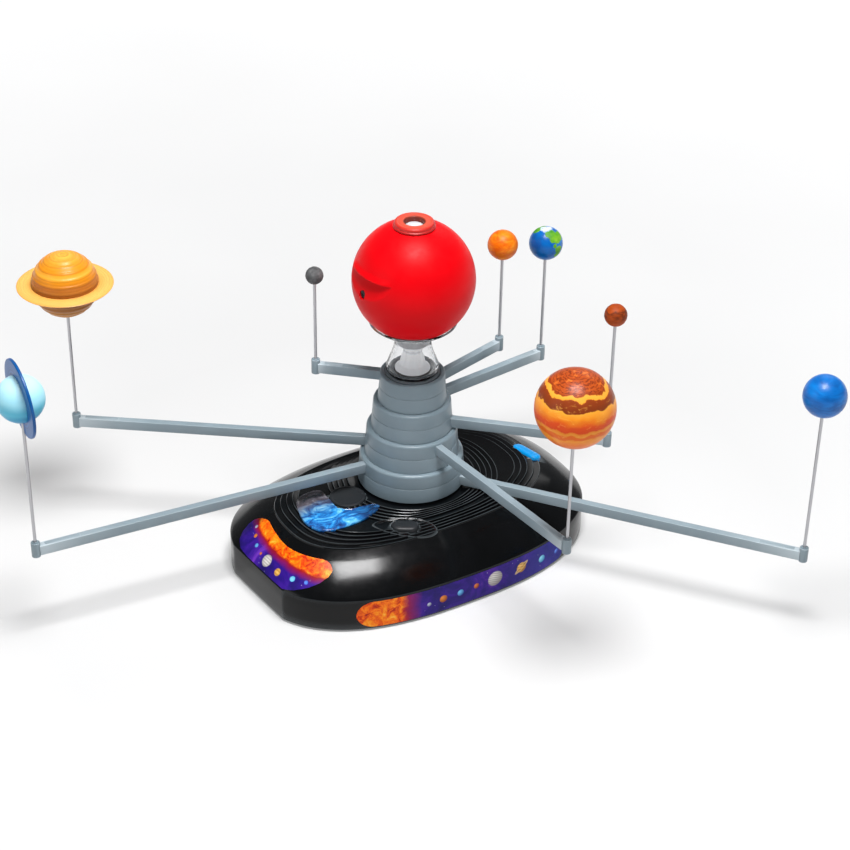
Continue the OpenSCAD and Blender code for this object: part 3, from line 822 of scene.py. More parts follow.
def lens_parts():
    top = 46.9
    profile = rounded([
        (7.3, 34.2), (12.5, 34.2), (12.5, 43.2), (14.9, 42.75), (15.5, 43.2, 0.4),
        (15.3, 44.1, 0.4),
        (14.55, 44.5, 0.3), (14.6, 45.7, 0.5), (13.7, top, 0.9), (12.3, top, 0.4),
        (11.8, top - 0.3, 0.3), (7.9, top - 0.1, 0.4), (7.3, top - 0.9, 0.3), (7.3, 41.5)], 0.2, 5)
    obj = build("lens_boss", *turned(profile, 160), "focus_ring", "lens_coral", "lens_ring",
                (0, 0, SUN_Z), sharp=50)
    p = Paint("lens_coral", 0.34, Specular_IOR_Level=0.35)
    r = p.node("VectorMath", {0: p.node("VectorMath", {0: p.coords.outputs["Object"],
               1: (1, 1, 0)}, operation="MULTIPLY").outputs[0]}, operation="LENGTH")
    # colour by distance from the axis: painted shade on the bore wall, dark brown; coral on the top
    # face; deeper red toward the outer flange
    tone = p.ramp(p.spread(r.outputs["Value"], 0.0068, 0.0158), [
        (0.0, srgb(80, 28, 18)), (0.1, srgb(126, 48, 32)), (0.2, srgb(196, 76, 54)),
        (0.6, srgb(204, 70, 52)), (0.8, srgb(186, 34, 28)), (1.0, srgb(150, 4, 10))])
    p.colour(p.mix(p.noise(90, 4), tone, p.mix(0.85, srgb(220, 70, 55), tone)))
    p.bump(p.noise(1100, 3), 0.00005, 0.25)
    dress(obj, p)
    # painted highlight: the clear lens is painted whitish and half opaque to show a bright glint in
    # the hole
    inner = Paint("lens_clear", 0.03, Transmission_Weight=0.45, IOR=1.5)
    inner.colour(inner.ramp(inner.noise(60), [(0.3, (0.93, 0.95, 1)), (0.7, (0.98, 0.99, 1))]))
    inner.roughness(inner.spread(inner.noise(300, 4), 0.3, 0.7, 0.02, 0.05))
    inner.bump(inner.noise(400, 2), 0.00002, 0.1)
    dome = [(0, 36.6), (8.2, 36.6), (8.6, 37), (8.6, 39.6), (8.2, 39.9), (7.1, 40.0), (7.1, 42.2)]
    for k in range(1, 10):
        a = math.radians(90 - 10 * k)
        dome.append((7.1 * math.sin(a), 42.2 + 2.4 * math.cos(a)))
    dome.append((0, 44.6))
    obj = build("lens_glass", *turned(dome, 96, closed=False), "focus_ring", "lens_clear", "lens",
                (0, 0, SUN_Z), sharp=40)
    dress(obj, inner)


# ---- Clear neck and lamp ---------------------------------------------------

def neck():
    foot = STACK_TOP + 0.3
    dish_in, dish_out = SUN_R + 0.4, SUN_R + 1.9
    out = []
    for a in range(44, 17, -2):
        s, c = math.sin(math.radians(a)), math.cos(math.radians(a))
        out.append((dish_out * s, SUN_Z - dish_out * c))
    flare = [(13.6, 178.6), (13.35, 177), (13.5, 172), (14.2, 167), (15.6, 162), (17.4, 157.5),
             (19, 153.5), (19.8, 151), (19.9, 149.3, 0.6), (19.2, 147.9, 0.5), (18.2, foot)]
    spigot = [(8.95, foot), (8.95, foot - 8), (7.25, foot - 8), (7.25, foot + 1.8)]
    bore = [(16.6, foot + 1.8), (17.8, 150.5), (17.4, 152.8), (16, 157), (14.2, 161.8),
            (12.9, 167), (12.5, 170.5), (12.45, 179)]
    back = []
    for a in range(18, 45, 2):
        s, c = math.sin(math.radians(a)), math.cos(math.radians(a))
        back.append((dish_in * s, SUN_Z - dish_in * c))
    profile = rounded(out + flare + spigot + bore + back, 0.35, 4)
    obj = build("neck_clear", *turned(profile, 160), "base", "clear_plastic", "clear_neck",
                sharp=50)
    p = Paint("neck_clear", 0.04, Transmission_Weight=1.0, IOR=1.34, Specular_IOR_Level=0.6)
    p.colour(p.ramp(p.noise(30), [(0.3, (0.96, 0.97, 0.98)), (0.7, (0.99, 0.995, 1))]))
    p.roughness(p.spread(p.noise(180, 4), 0.3, 0.7, 0.02, 0.07))
    p.bump(p.noise(120, 2), 0.0001, 0.12)
    dress(obj, p)


def lamp_parts():
    foot = STACK_TOP + 0.3
    turns = 180
    flutes = 12
    profile = rounded([
        (5, foot - 6), (7.2, foot - 6), (7.2, foot + 1.9), (13.2, foot + 2.1, 0.5),
        (13.3, foot + 3.2, 0.6), (9.9, foot + 6.6, 1.0), (8.4, foot + 12.5, 0.8),
        (7.2, foot + 17.5, 0.6), (7.4, foot + 19.5, 0.6), (8.4, foot + 21.0, 0.5),
        (9.6, foot + 21.8, 0.4), (9.9, foot + 24.6, 0.8), (9.6, foot + 27.4, 0.6),
        (9.4, foot + 29.4, 0.3),
        (7.8, foot + 29.4, 0.3), (7.8, foot + 22.6), (2.5, foot + 21.5), (2.5, foot + 2.4),
        (5, foot + 2)], 0.3, 4)
    loops = []
    for r, z in profile:
        loop = []
        for i in range(turns):
            a = 2 * math.pi * i / turns
            swell = 0.0
            if r < 10.4 and foot + 4.4 < z < foot + 20:
                swell = -0.3 - 0.3 * math.cos(flutes * a)
            loop.append(((r + swell) * math.cos(a), (r + swell) * math.sin(a), z))
        loops.append(loop)
    obj = build("lamp_socket", *skin(loops, closed=True), "base", "lamp_grey", "lamp_holder",
                sharp=40)
    # painted glow: the socket's colour also feeds its emission, lifting it inside the clear neck's
    # shadow. The colour is darker at its foot and in a band at the waist.
    p = Paint("lamp_socket", 0.28, Emission_Strength=0.26)
    up = p.spread(p.axis("Z"), (foot + 1) * MM, (foot + 29) * MM)
    look = p.mix(p.noise(120, 3), p.ramp(up, [
        (0.0, srgb(120, 122, 125)), (0.08, srgb(206, 208, 211)), (0.3, srgb(232, 233, 235)),
        (0.56, srgb(240, 241, 242)), (0.62, srgb(150, 152, 156)), (0.68, srgb(236, 237, 239)),
        (1.0, srgb(222, 224, 227))]), srgb(228, 230, 232))
    p.colour(look)
    p.tree.links.new(look, p.shader.inputs["Emission Color"])
    p.bump(p.noise(900, 3), 0.00006, 0.3)
    dress(obj, p)
    z = STACK_TOP + 23
    bulb = [(0, z), (4, z), (4, z + 1.2), (2.5, z + 1.3), (2.5, z + 8)]
    for k in range(1, 9):
        a = math.radians(90 * k / 9)
        bulb.append((2.5 * math.cos(a), z + 8 + 2.5 * math.sin(a)))
    bulb.append((0, z + 10.5))
    obj = build("lamp_bulb", *turned(bulb, 48, closed=False), "base", "lamp_lens", "lamp", sharp=40)
    p = Paint("lamp_bulb", 0.08, Transmission_Weight=0.6)
    p.colour(p.ramp(p.noise(200), [(0.3, (0.95, 0.93, 0.8)), (0.7, (1, 0.98, 0.9))]))
    p.bump(p.noise(500), 0.00002, 0.1)
    dress(obj, p)


# ---- Planets ---------------------------------------------------------------

CAMERA_BACK = Vector((-0.448, -0.714, 0.538))   # from the column towards the camera
CAMERA_RIGHT = Vector((0.847, -0.531, 0.0))


def seen_at(right, up):
    """Unit direction of the point on a ball seen at a share of its radius right and up."""
    up_axis = Vector((0.286, 0.456, 0.843))
    ahead = math.sqrt(max(0.0, 1 - right * right - up * up))
    return (CAMERA_RIGHT * right + up_axis * up + CAMERA_BACK * ahead).normalized()


def globe(name, shape=None, turns=160, rows=112):
    """A planet's ball with its rod socket, its surface moved by shape(direction) in mm."""
    lo, hi = box_mm(name + "_ball")
    rod_hi = box_mm(name + "_rod")[1]
    r = (hi.x - lo.x) / 2
    z_mid = hi.z - r
    rod_r = 1.15
    rod_top = rod_hi.z - z_mid
    centre = ((lo.x + hi.x) / 2, (lo.y + hi.y) / 2, z_mid)
    loops = []
    first = math.asin((rod_r + 0.55) / r)
    loops.append([(rod_r + 0.08, rod_top + 0.1)])
    loops.append([(rod_r + 0.08, -r + 0.25)])
    loops.append([(rod_r + 0.3, -math.sqrt(r * r - (rod_r + 0.3) ** 2) + 0.05)])
    full = []
    for ring in loops:
        rr, z = ring[0]
        full.append([(rr * math.cos(2 * math.pi * i / turns),
                      rr * math.sin(2 * math.pi * i / turns), z)
                     for i in range(turns)])
    for k in range(rows):
        a = math.pi - first - (math.pi - first - 0.012) * k / (rows - 1)
        loop = []
        for i in range(turns):
            b = 2 * math.pi * i / turns
            d = Vector((math.sin(a) * math.cos(b), math.sin(a) * math.sin(b), math.cos(a)))
            reach = r + (shape(d) if shape else 0)
            loop.append(tuple(d * reach))
        full.append(loop)
    verts, faces = skin(full)
    return build(name + "_globe", verts, faces, name, name + "_paint", name + "_ball", centre,
                 sharp=50), r


def fractal(d, scale, octaves=4, seed=0.0):
    return noise.fractal(Vector((d.x * scale + seed, d.y * scale - seed, d.z * scale)), 0.8, 2.1,
                         octaves)


def craters(seed, count):
    """Places and sizes of craters, spread over a ball by a golden-angle spiral."""
    out = []
    for k in range(count):
        z = 1 - 2 * (k + 0.5) / count
        a = k * 2.39996 + seed
        q = math.sqrt(1 - z * z)
        size = 0.09 + 0.1 * ((k * 7919) % 13) / 13
        out.append((Vector((q * math.cos(a), q * math.sin(a), z)), size))
    return out


def planets():
    holes = craters(0.4, 34)

    def rocky(d):
        h = 0.05 * fractal(d, 3, 5, 4.0)
        for c, size in holes:
            away = (d - c).length / size
            if away < 1.5:
                h += -0.13 * max(0, 1 - away * away) + 0.06 * math.exp(-((away - 1.05) / 0.2) ** 2)
        return h

    obj, r = globe("mercury", rocky, 128, 96)
    p = Paint("mercury_rock", 0.55, Specular_IOR_Level=0.35)
    p.colour(p.ramp(p.noise(220, 5, 0.65), [
        (0.3, srgb(56, 57, 58)), (0.5, srgb(84, 85, 86)), (0.7, srgb(108, 109, 110))]))
    p.roughness(p.spread(p.noise(300), 0.3, 0.7, 0.5, 0.7))
    p.bump(p.noise(900, 4), 0.0002, 0.5)
    dress(obj, p)

    obj, r = globe("venus", lambda d: 0.06 * fractal(d, 2.2, 3, 9.0), 128, 96)
    p = Paint("venus_cloud", 0.42, Specular_IOR_Level=0.25)
    swirl = p.noise(90, 5, 0.6, (1, 1, 2.2), 1.2)
    p.colour(p.ramp(swirl, [(0.28, srgb(206, 72, 0)), (0.45, srgb(222, 104, 2)),
                            (0.6, srgb(230, 128, 8)), (0.75, srgb(240, 160, 60))]))
    p.roughness(p.spread(swirl, 0.3, 0.7, 0.36, 0.5))
    p.bump(swirl, 0.0003, 0.3)
    dress(obj, p)

    # Earth: land as joined patches with ragged coasts
    land = [(seen_at(0.33, 0.43), 0.34), (seen_at(0.08, 0.44), 0.2), (seen_at(0.6, 0.14), 0.24),
            (seen_at(0.72, 0.43), 0.3), (seen_at(0.36, 0.12), 0.2), (seen_at(0.5, -0.24), 0.13),
            (seen_at(0.72, -0.42), 0.27), (seen_at(0.64, -0.68), 0.2), (seen_at(-0.54, 0.76), 0.3),
            (seen_at(-0.2, 0.93), 0.2)]
    land += [(-seen_at(0.2, 0.1), 0.55), (-seen_at(-0.35, 0.5), 0.4), (-seen_at(0.5, -0.55), 0.32),
             (-seen_at(-0.75, -0.2), 0.25), (-seen_at(0.05, 0.85), 0.3)]

    def coast(d):
        best = max(1 - (d - c).length / size for c, size in land)
        return best + 0.22 * fractal(d, 3.2, 4, 2.0)

    obj, r = globe("earth", lambda d: 0.12 * min(1, max(0, coast(d) * 5)) + 0.02 * fractal(d, 6, 3),
                   192, 128)
    shade_of = obj.data.attributes.new("land", "FLOAT", "POINT")
    shade_of.data.foreach_set("value", [
        min(1, max(0, coast(v.co.normalized()) * 4 + 0.5)) for v in obj.data.vertices])
    p = Paint("earth_paint", 0.36, Specular_IOR_Level=0.3)
    mask = p.node("Attribute", attribute_name="land").outputs["Fac"]
    sea = p.ramp(p.noise(60, 4), [(0.3, srgb(0, 70, 142)), (0.55, srgb(0, 98, 178)),
                                  (0.8, srgb(26, 134, 204))])
    ground = p.ramp(p.noise(110, 5, 0.6), [(0.3, srgb(46, 124, 30)), (0.5, srgb(96, 160, 30)),
                                           (0.7, srgb(134, 182, 50))])
    both = p.mix(p.spread(mask, 0.42, 0.58), sea, ground)
    snow = p.math("ADD", p.axis("Z"), p.math("MULTIPLY", p.noise(160, 4), 0.004))
    both = p.mix(p.spread(snow, r * MM * 0.93 + 0.002, r * MM * 0.99 + 0.002), both,
                 srgb(214, 226, 244))
    south = p.math("ADD", p.axis("Z"), p.math("MULTIPLY", p.noise(160, 4), -0.004))
    both = p.mix(p.spread(south, -r * MM * 0.93 - 0.002, -r * MM * 0.99 - 0.002), both,
                 srgb(225, 234, 246))
    p.colour(both)
    p.roughness(p.spread(mask, 0, 1, 0.28, 0.5))
    p.bump(p.noise(700, 4), 0.0001, 0.3)
    dress(obj, p)

    obj, r = globe("mars", lambda d: 0.07 * fractal(d, 2.6, 5, 7.0), 128, 96)
    p = Paint("mars_dust", 0.5, Specular_IOR_Level=0.2)
    band = p.math("ADD", p.math("MULTIPLY", p.axis("Z"), 46),
                  p.noise(110, 5, 0.6, (1, 1, 2.5), 0.6))
    p.colour(p.ramp(p.math("FRACT", band), [
        (0.0, srgb(142, 54, 8)), (0.25, srgb(176, 74, 16)), (0.5, srgb(150, 60, 10)),
        (0.68, srgb(98, 38, 10)), (0.8, srgb(164, 68, 14)), (1.0, srgb(142, 54, 8))]))
    p.roughness(p.spread(p.noise(260, 4), 0.3, 0.7, 0.42, 0.6))
    p.bump(p.noise(420, 5), 0.0003, 0.4)
    dress(obj, p)

    # Jupiter: ragged belts and a swirled cap
    obj, r = globe("jupiter", lambda d: 0.08 * fractal(Vector((d.x * 2, d.y * 2, d.z * 9)), 1.2, 3),
                   224, 144)
    p = Paint("jupiter_belts", 0.4, Specular_IOR_Level=0.2)
    z = p.math("DIVIDE", p.axis("Z"), r * MM)
    ragged = p.math("SUBTRACT", p.noise(130, 5, 0.62), 0.5)
    scallop = p.math("SUBTRACT", p.noise(62, 2, 0.4), 0.5)
    wave = p.math("ADD", p.math("MULTIPLY", ragged, 0.2), p.math("MULTIPLY", scallop, 0.24))
    lat = p.math("ADD", z, wave)
    belts = p.ramp(p.spread(lat, -1, 1), [
        (0.0, srgb(176, 72, 12)), (0.12, srgb(208, 92, 12)), (0.22, srgb(228, 112, 14)),
        (0.3, srgb(236, 150, 40)), (0.33, srgb(226, 96, 10)), (0.39, srgb(232, 104, 12)),
        (0.405, srgb(240, 158, 48)), (0.44, srgb(236, 134, 28)), (0.455, srgb(222, 70, 10)),
        (0.52, srgb(226, 76, 8)), (0.56, srgb(232, 112, 12)), (0.615, srgb(236, 140, 28)),
        (0.695, srgb(242, 164, 54)), (0.705, srgb(120, 50, 18)), (0.81, srgb(138, 56, 20)),
        (0.818, srgb(240, 156, 48)), (0.855, srgb(242, 164, 58)), (0.865, srgb(138, 52, 16)),
        (0.9, srgb(178, 76, 24)), (1.0, srgb(170, 70, 22))])
    flow = p.node("TexNoise", {"Vector": p.at((1, 1, 2.4)), "Scale": 95.0, "Detail": 5.0,
                               "Roughness": 0.62, "Distortion": 2.2}).outputs["Fac"]
    ripple = p.math("SINE", p.math("ADD", p.math("MULTIPLY", p.node("VectorMath", {
        0: p.node("VectorMath", {0: p.coords.outputs["Object"], 1: (1, 1, 0)},
                  operation="MULTIPLY").outputs[0]}, operation="LENGTH").outputs["Value"], 2600),
        p.math("MULTIPLY", flow, 26)))
    on_cap = p.spread(lat, 0.73, 0.77)
    lines = p.math("MULTIPLY", p.spread(ripple, 0.1, 0.75), on_cap)
    spots = p.spread(p.noise(210, 3), 0.6, 0.68, 0, 0.6)
    toned = p.mix(p.math("MULTIPLY", lines, 0.8), belts, srgb(104, 34, 10))
    toned = p.mix(p.math("MULTIPLY", spots, on_cap), toned, srgb(226, 120, 44))
    fleck = p.math("MULTIPLY", p.spread(flow, 0.58, 0.66), p.spread(lat, 0.6, 0.55))
    toned = p.mix(p.math("MULTIPLY", fleck, 0.35), toned, srgb(250, 180, 80))
    p.colour(toned)
    p.roughness(p.spread(p.noise(240, 4), 0.3, 0.7, 0.28, 0.42))
    p.bump(flow, 0.0004, 0.12)
    dress(obj, p)

    # Saturn: rounded steps from pole to equator
    def terraces(d):
        level = math.degrees(math.asin(max(-1, min(1, d.z))))
        step = 12.0
        s = (level / step) % 1.0
        rise = 0.5 - 0.5 * math.cos(math.pi * min(1, s / 0.75)) if s < 0.75 else \
            0.5 + 0.5 * math.cos(math.pi * (s - 0.75) / 0.25)
        return -0.42 + 0.42 * rise

    obj, r = globe("saturn", terraces, 192, 220)
    p = Paint("saturn_bands", 0.4, Specular_IOR_Level=0.3)
    lat = p.math("ARCSINE", p.math("DIVIDE", p.axis("Z"), r * MM * 1.005))
    lat = p.math("ADD", lat, p.math("MULTIPLY", p.math("SUBTRACT", p.noise(60, 3), 0.5), 0.05))
    share = p.spread(lat, -1.5708, 1.5708)
    tone = p.ramp(share, [
        (0.0, srgb(176, 112, 44)), (0.2, srgb(196, 132, 56)), (0.4, srgb(146, 88, 30)),
        (0.49, srgb(140, 84, 26)), (0.52, srgb(160, 96, 34)), (0.6, srgb(190, 112, 26)),
        (0.66, srgb(222, 140, 18)), (0.7, srgb(238, 168, 54)), (0.74, srgb(224, 138, 18)),
        (0.82, srgb(226, 148, 38)), (0.9, srgb(232, 166, 62)), (1.0, srgb(240, 182, 78))])
    fine = p.math("FRACT", p.math("MULTIPLY", share, 15))
    fine = p.ramp(fine, [(0.0, (0.72, 0.66, 0.6)), (0.12, (0.9, 0.88, 0.85)), (0.55, (1, 1, 1)),
                         (0.85, (1.12, 1.1, 1.05)), (0.96, (0.85, 0.82, 0.78)),
                         (1.0, (0.72, 0.66, 0.6))])
    made = p.node("Mix", data_type="RGBA", blend_type="MULTIPLY")
    made.inputs[0].default_value = 0.8
    p.tree.links.new(tone, made.inputs[6])
    p.tree.links.new(fine, made.inputs[7])
    p.colour(made.outputs[2])
    p.roughness(p.spread(p.noise(240, 4), 0.3, 0.7, 0.3, 0.44))
    p.bump(p.noise(700, 3), 0.0001, 0.25)
    dress(obj, p)

    obj, r = globe("uranus", lambda d: 0.03 * fractal(d, 2, 3, 1.0), 160, 112)
    p = Paint("uranus_painted_shading", 0.38, Specular_IOR_Level=0.3)
    # painted shading: colour runs from teal at the bottom to pale cyan at the top, as if lit from
    # above
    up = p.math("ADD", p.axis("Z"), p.math("MULTIPLY", p.noise(50, 4), 0.006))
    p.colour(p.ramp(p.spread(up, -r * MM, r * MM), [
        (0.0, srgb(10, 112, 158)), (0.3, srgb(34, 146, 188)), (0.5, srgb(92, 190, 218)),
        (0.75, srgb(158, 218, 234)), (1.0, srgb(186, 230, 240))], True))
    p.roughness(p.spread(p.noise(240, 4), 0.3, 0.7, 0.3, 0.42))
    p.bump(p.noise(800, 3), 0.00008, 0.2)
    dress(obj, p)

    obj, r = globe("neptune", lambda d: 0.04 * fractal(Vector((d.x, d.y, d.z * 3)), 2, 3, 1.0),
                   160, 112)
    p = Paint("neptune_haze", 0.38, Specular_IOR_Level=0.35)
    streak = p.noise(70, 5, 0.55, (1, 1, 3), 0.5)
    p.colour(p.ramp(streak, [(0.3, srgb(0, 78, 150)), (0.5, srgb(0, 100, 180)),
                             (0.66, srgb(0, 116, 198)), (0.8, srgb(30, 146, 220))]))
    p.roughness(p.spread(p.noise(240, 4), 0.3, 0.7, 0.28, 0.42))
    p.bump(streak, 0.0002, 0.2)
    dress(obj, p)


def planet_rings():
    lo, hi = box_mm("saturn_ring")
    ball_lo, ball_hi = box_mm("saturn_ball")
    outer = (hi.x - lo.x) / 2
    inner = (ball_hi.x - ball_lo.x) / 2 - 0.6
    mid = (lo + hi) / 2
    profile = [(inner, -0.75), (outer - 0.5, -0.6), (outer, -0.1), (outer, 0.15),
               (outer - 0.5, 0.55)]
    x = outer - 1.2
    while x > inner + 0.6:
        profile += [(x, 0.62), (x - 0.25, 0.52), (x - 0.5, 0.66)]
        x -= 1.9
    profile.append((inner, 0.7))
    obj = build("saturn_ring_disc", *turned(profile, 224), "saturn", "saturn_ring_cream",
                "saturn_ring", mid, sharp=50)
    p = Paint("saturn_ring", 0.42)
    r = p.node("VectorMath", {0: p.coords.outputs["Object"]}, operation="LENGTH").outputs["Value"]
    grooves = p.node("TexNoise", {"W": p.math("MULTIPLY", r, 900), "Scale": 1.0, "Detail": 4.0},
                     noise_dimensions="1D").outputs["Fac"]
    base = p.ramp(p.spread(r, inner * MM, outer * MM), [
        (0.0, srgb(206, 140, 56)), (0.2, srgb(234, 172, 78)), (0.6, srgb(240, 186, 96)),
        (0.85, srgb(236, 180, 88)), (1.0, srgb(228, 162, 70))])
    p.colour(p.mix(p.spread(grooves, 0.35, 0.65, 0, 0.55), base, srgb(228, 164, 84)))
    p.bump(grooves, 0.0002, 0.3)
    dress(obj, p)

    lo, hi = box_mm("uranus_ring")
    mid = (lo + hi) / 2
    ball_lo, ball_hi = box_mm("uranus_ball")
    inner = (ball_hi.x - ball_lo.x) / 2 - 0.4
    lean = math.radians(87)
    head = math.radians(-4)
    pole = Vector((math.sin(lean) * math.cos(head), math.sin(lean) * math.sin(head),
                   math.cos(lean)))
    wide = 28.4
    profile = rounded([(inner, -1.15), (wide, -1.15, 0.9), (wide, 1.15, 0.9), (inner, 1.15)],
                      0.1, 5)
    v, f = turned(profile, 224)
    turn = pole.to_track_quat("Z", "Y").to_matrix().to_4x4()
    obj = build("uranus_ring_disc", moved(v, turn), f, "uranus", "uranus_ring_blue", "uranus_ring",
                mid, sharp=50)
    slot_v, slot_f = turned([(0, mid.z - 32), (1.35, mid.z - 32), (1.35, mid.z - 9),
                             (0, mid.z - 9)], 32,
                            closed=False)
    centre = middle("uranus_rod")
    cut_local(obj, (moved(slot_v, Matrix.Translation((centre.x, centre.y, 0))), slot_f))
    p = Paint("uranus_ring", 0.34, Specular_IOR_Level=0.3)
    r = p.node("VectorMath", {0: p.coords.outputs["Object"]}, operation="LENGTH").outputs["Value"]
    grooves = p.node("TexNoise", {"W": p.math("MULTIPLY", r, 800), "Scale": 1.0, "Detail": 3.0},
                     noise_dimensions="1D").outputs["Fac"]
    p.colour(p.ramp(grooves, [(0.3, srgb(0, 76, 140)), (0.7, srgb(0, 102, 176))]))
    p.bump(grooves, 0.00015, 0.3)
    dress(obj, p)


sun_ball()
lens_parts()
neck()
lamp_parts()
planets()
planet_rings()

# ---- Printed films ---------------------------------------------------------

def spot(p, under, centre, radius, light, dark, bands=0.0):
    """A small printed planet: a disc round a place, both in mm, shaded from light to dark."""
    away = p.node("VectorMath", {0: p.coords.outputs["Object"], 1: tuple(c * MM for c in centre)},
                  operation="DISTANCE").outputs["Value"]
    lit = tuple(c * MM + o * radius * MM for c, o in zip(centre, (-0.4, -0.1, 0.45)))
    shade_at = p.node("VectorMath", {0: p.coords.outputs["Object"], 1: lit},
                      operation="DISTANCE").outputs["Value"]
    tone = p.ramp(p.spread(shade_at, 0, 1.7 * radius * MM), [(0.1, light), (0.9, dark)])
    if bands:
        split = p.math("ADD", p.math("MULTIPLY", p.axis("Z"), bands), p.math(
            "MULTIPLY", p.axis("X"), bands * 0.25))
        stripe = p.spread(p.math("SINE", split), -0.2, 0.6, 0, 0.55)
        tone = p.mix(stripe, tone, tint(dark, 0.8))
    share = p.spread(away, radius * MM * 1.06, radius * MM * 0.94)
    return p.mix(share, under, tone)


def saturn_band(p, under, centre, half, tall, lean, colour):
    """A small ellipse drawn across a printed planet, leaning by an angle."""
    m = p.node("Mapping", {"Vector": p.coords.outputs["Object"],
                           "Location": tuple(c * MM for c in centre),
                           "Rotation": (0, math.radians(lean), 0),
                           "Scale": (half * MM, 1.0, tall * MM)}, vector_type="TEXTURE")
    flat = p.node("VectorMath", {0: m.outputs["Vector"], 1: (1, 0, 1)}, operation="MULTIPLY")
    far = p.node("VectorMath", {0: flat.outputs[0]}, operation="LENGTH").outputs["Value"]
    ring = p.math("MULTIPLY", p.spread(far, 1.05, 0.95), p.spread(far, 0.62, 0.72))
    return p.mix(p.math("MULTIPLY", ring, 0.85), under, colour)


def sun_print(p):
    """The boiling orange of a printed sun."""
    cells = p.noise(150, 6, 0.68, distortion=0.7)
    return p.ramp(cells, [
        (0.3, srgb(120, 12, 0)), (0.4, srgb(206, 48, 0)), (0.5, srgb(246, 104, 2)),
        (0.6, srgb(255, 150, 18)), (0.7, srgb(255, 200, 80)), (0.8, srgb(255, 240, 170))])


def space_print(p):
    """Purple-blue sky with faint clouds and small stars."""
    cloud = p.noise(38, 5, 0.6, distortion=0.8)
    sky = p.ramp(cloud, [(0.3, srgb(14, 6, 66)), (0.48, srgb(36, 12, 118)),
                         (0.6, srgb(58, 20, 142)), (0.75, srgb(110, 50, 180))])
    star = p.node("TexVoronoi", {"Vector": p.at(), "Scale": 260.0}, feature="F1")
    gate = p.spread(p.noise(420, 2), 0.5, 0.62)
    return p.mix(p.math("MULTIPLY", p.spread(star.outputs["Distance"], 0.1, 0.03), gate), sky,
                 srgb(230, 225, 255))


FILM_THICK = 0.5


def film(name, rows, slot, stands_for=()):
    """A thin closed film from a grid of points, thickened inwards along its own normals."""
    count, wide = len(rows), len(rows[0])
    top = []
    for i in range(count):
        for j in range(wide):
            du = Vector(rows[min(i + 1, count - 1)][j]) - Vector(rows[max(i - 1, 0)][j])
            dv = Vector(rows[i][min(j + 1, wide - 1)]) - Vector(rows[i][max(j - 1, 0)])
            n = du.cross(dv)
            out = n.normalized() if n.length > 1e-9 else Vector((0, 0, 1))
            top.append((Vector(rows[i][j]), out))
    verts, faces = [], []
    for p, n in top:
        verts.append(tuple(p))
    for p, n in top:
        out = n if n.dot(Vector((p.x - BASE_MID.x, p.y - BASE_MID.y, 30))) > 0 else -n
        verts.append(tuple(p - out * FILM_THICK))
    half = count * wide

    def at(i, j, low=False):
        return i * wide + j + (half if low else 0)
    for i in range(count - 1):
        for j in range(wide - 1):
            faces.append((at(i, j), at(i + 1, j), at(i + 1, j + 1), at(i, j + 1)))
            faces.append((at(i, j, True), at(i, j + 1, True), at(i + 1, j + 1, True),
                          at(i + 1, j, True)))
    for i in range(count - 1):
        faces.append((at(i, 0), at(i, 0, True), at(i + 1, 0, True), at(i + 1, 0)))
        faces.append((at(i, wide - 1), at(i + 1, wide - 1), at(i + 1, wide - 1, True),
                      at(i, wide - 1, True)))
    for j in range(wide - 1):
        faces.append((at(0, j), at(0, j + 1), at(0, j + 1, True), at(0, j, True)))
        faces.append((at(count - 1, j), at(count - 1, j, True), at(count - 1, j + 1, True),
                      at(count - 1, j + 1)))
    return build(name, verts, faces, "base", slot, stands_for, sharp=60)


def end_cut(along, length, reach, power=2.0):
    """Share of full height at a distance from a rounded end."""
    near = min(along, length - along)
    if near >= reach:
        return 1.0
    return math.sqrt(max(0.02, 1 - (1 - near / reach) ** power))


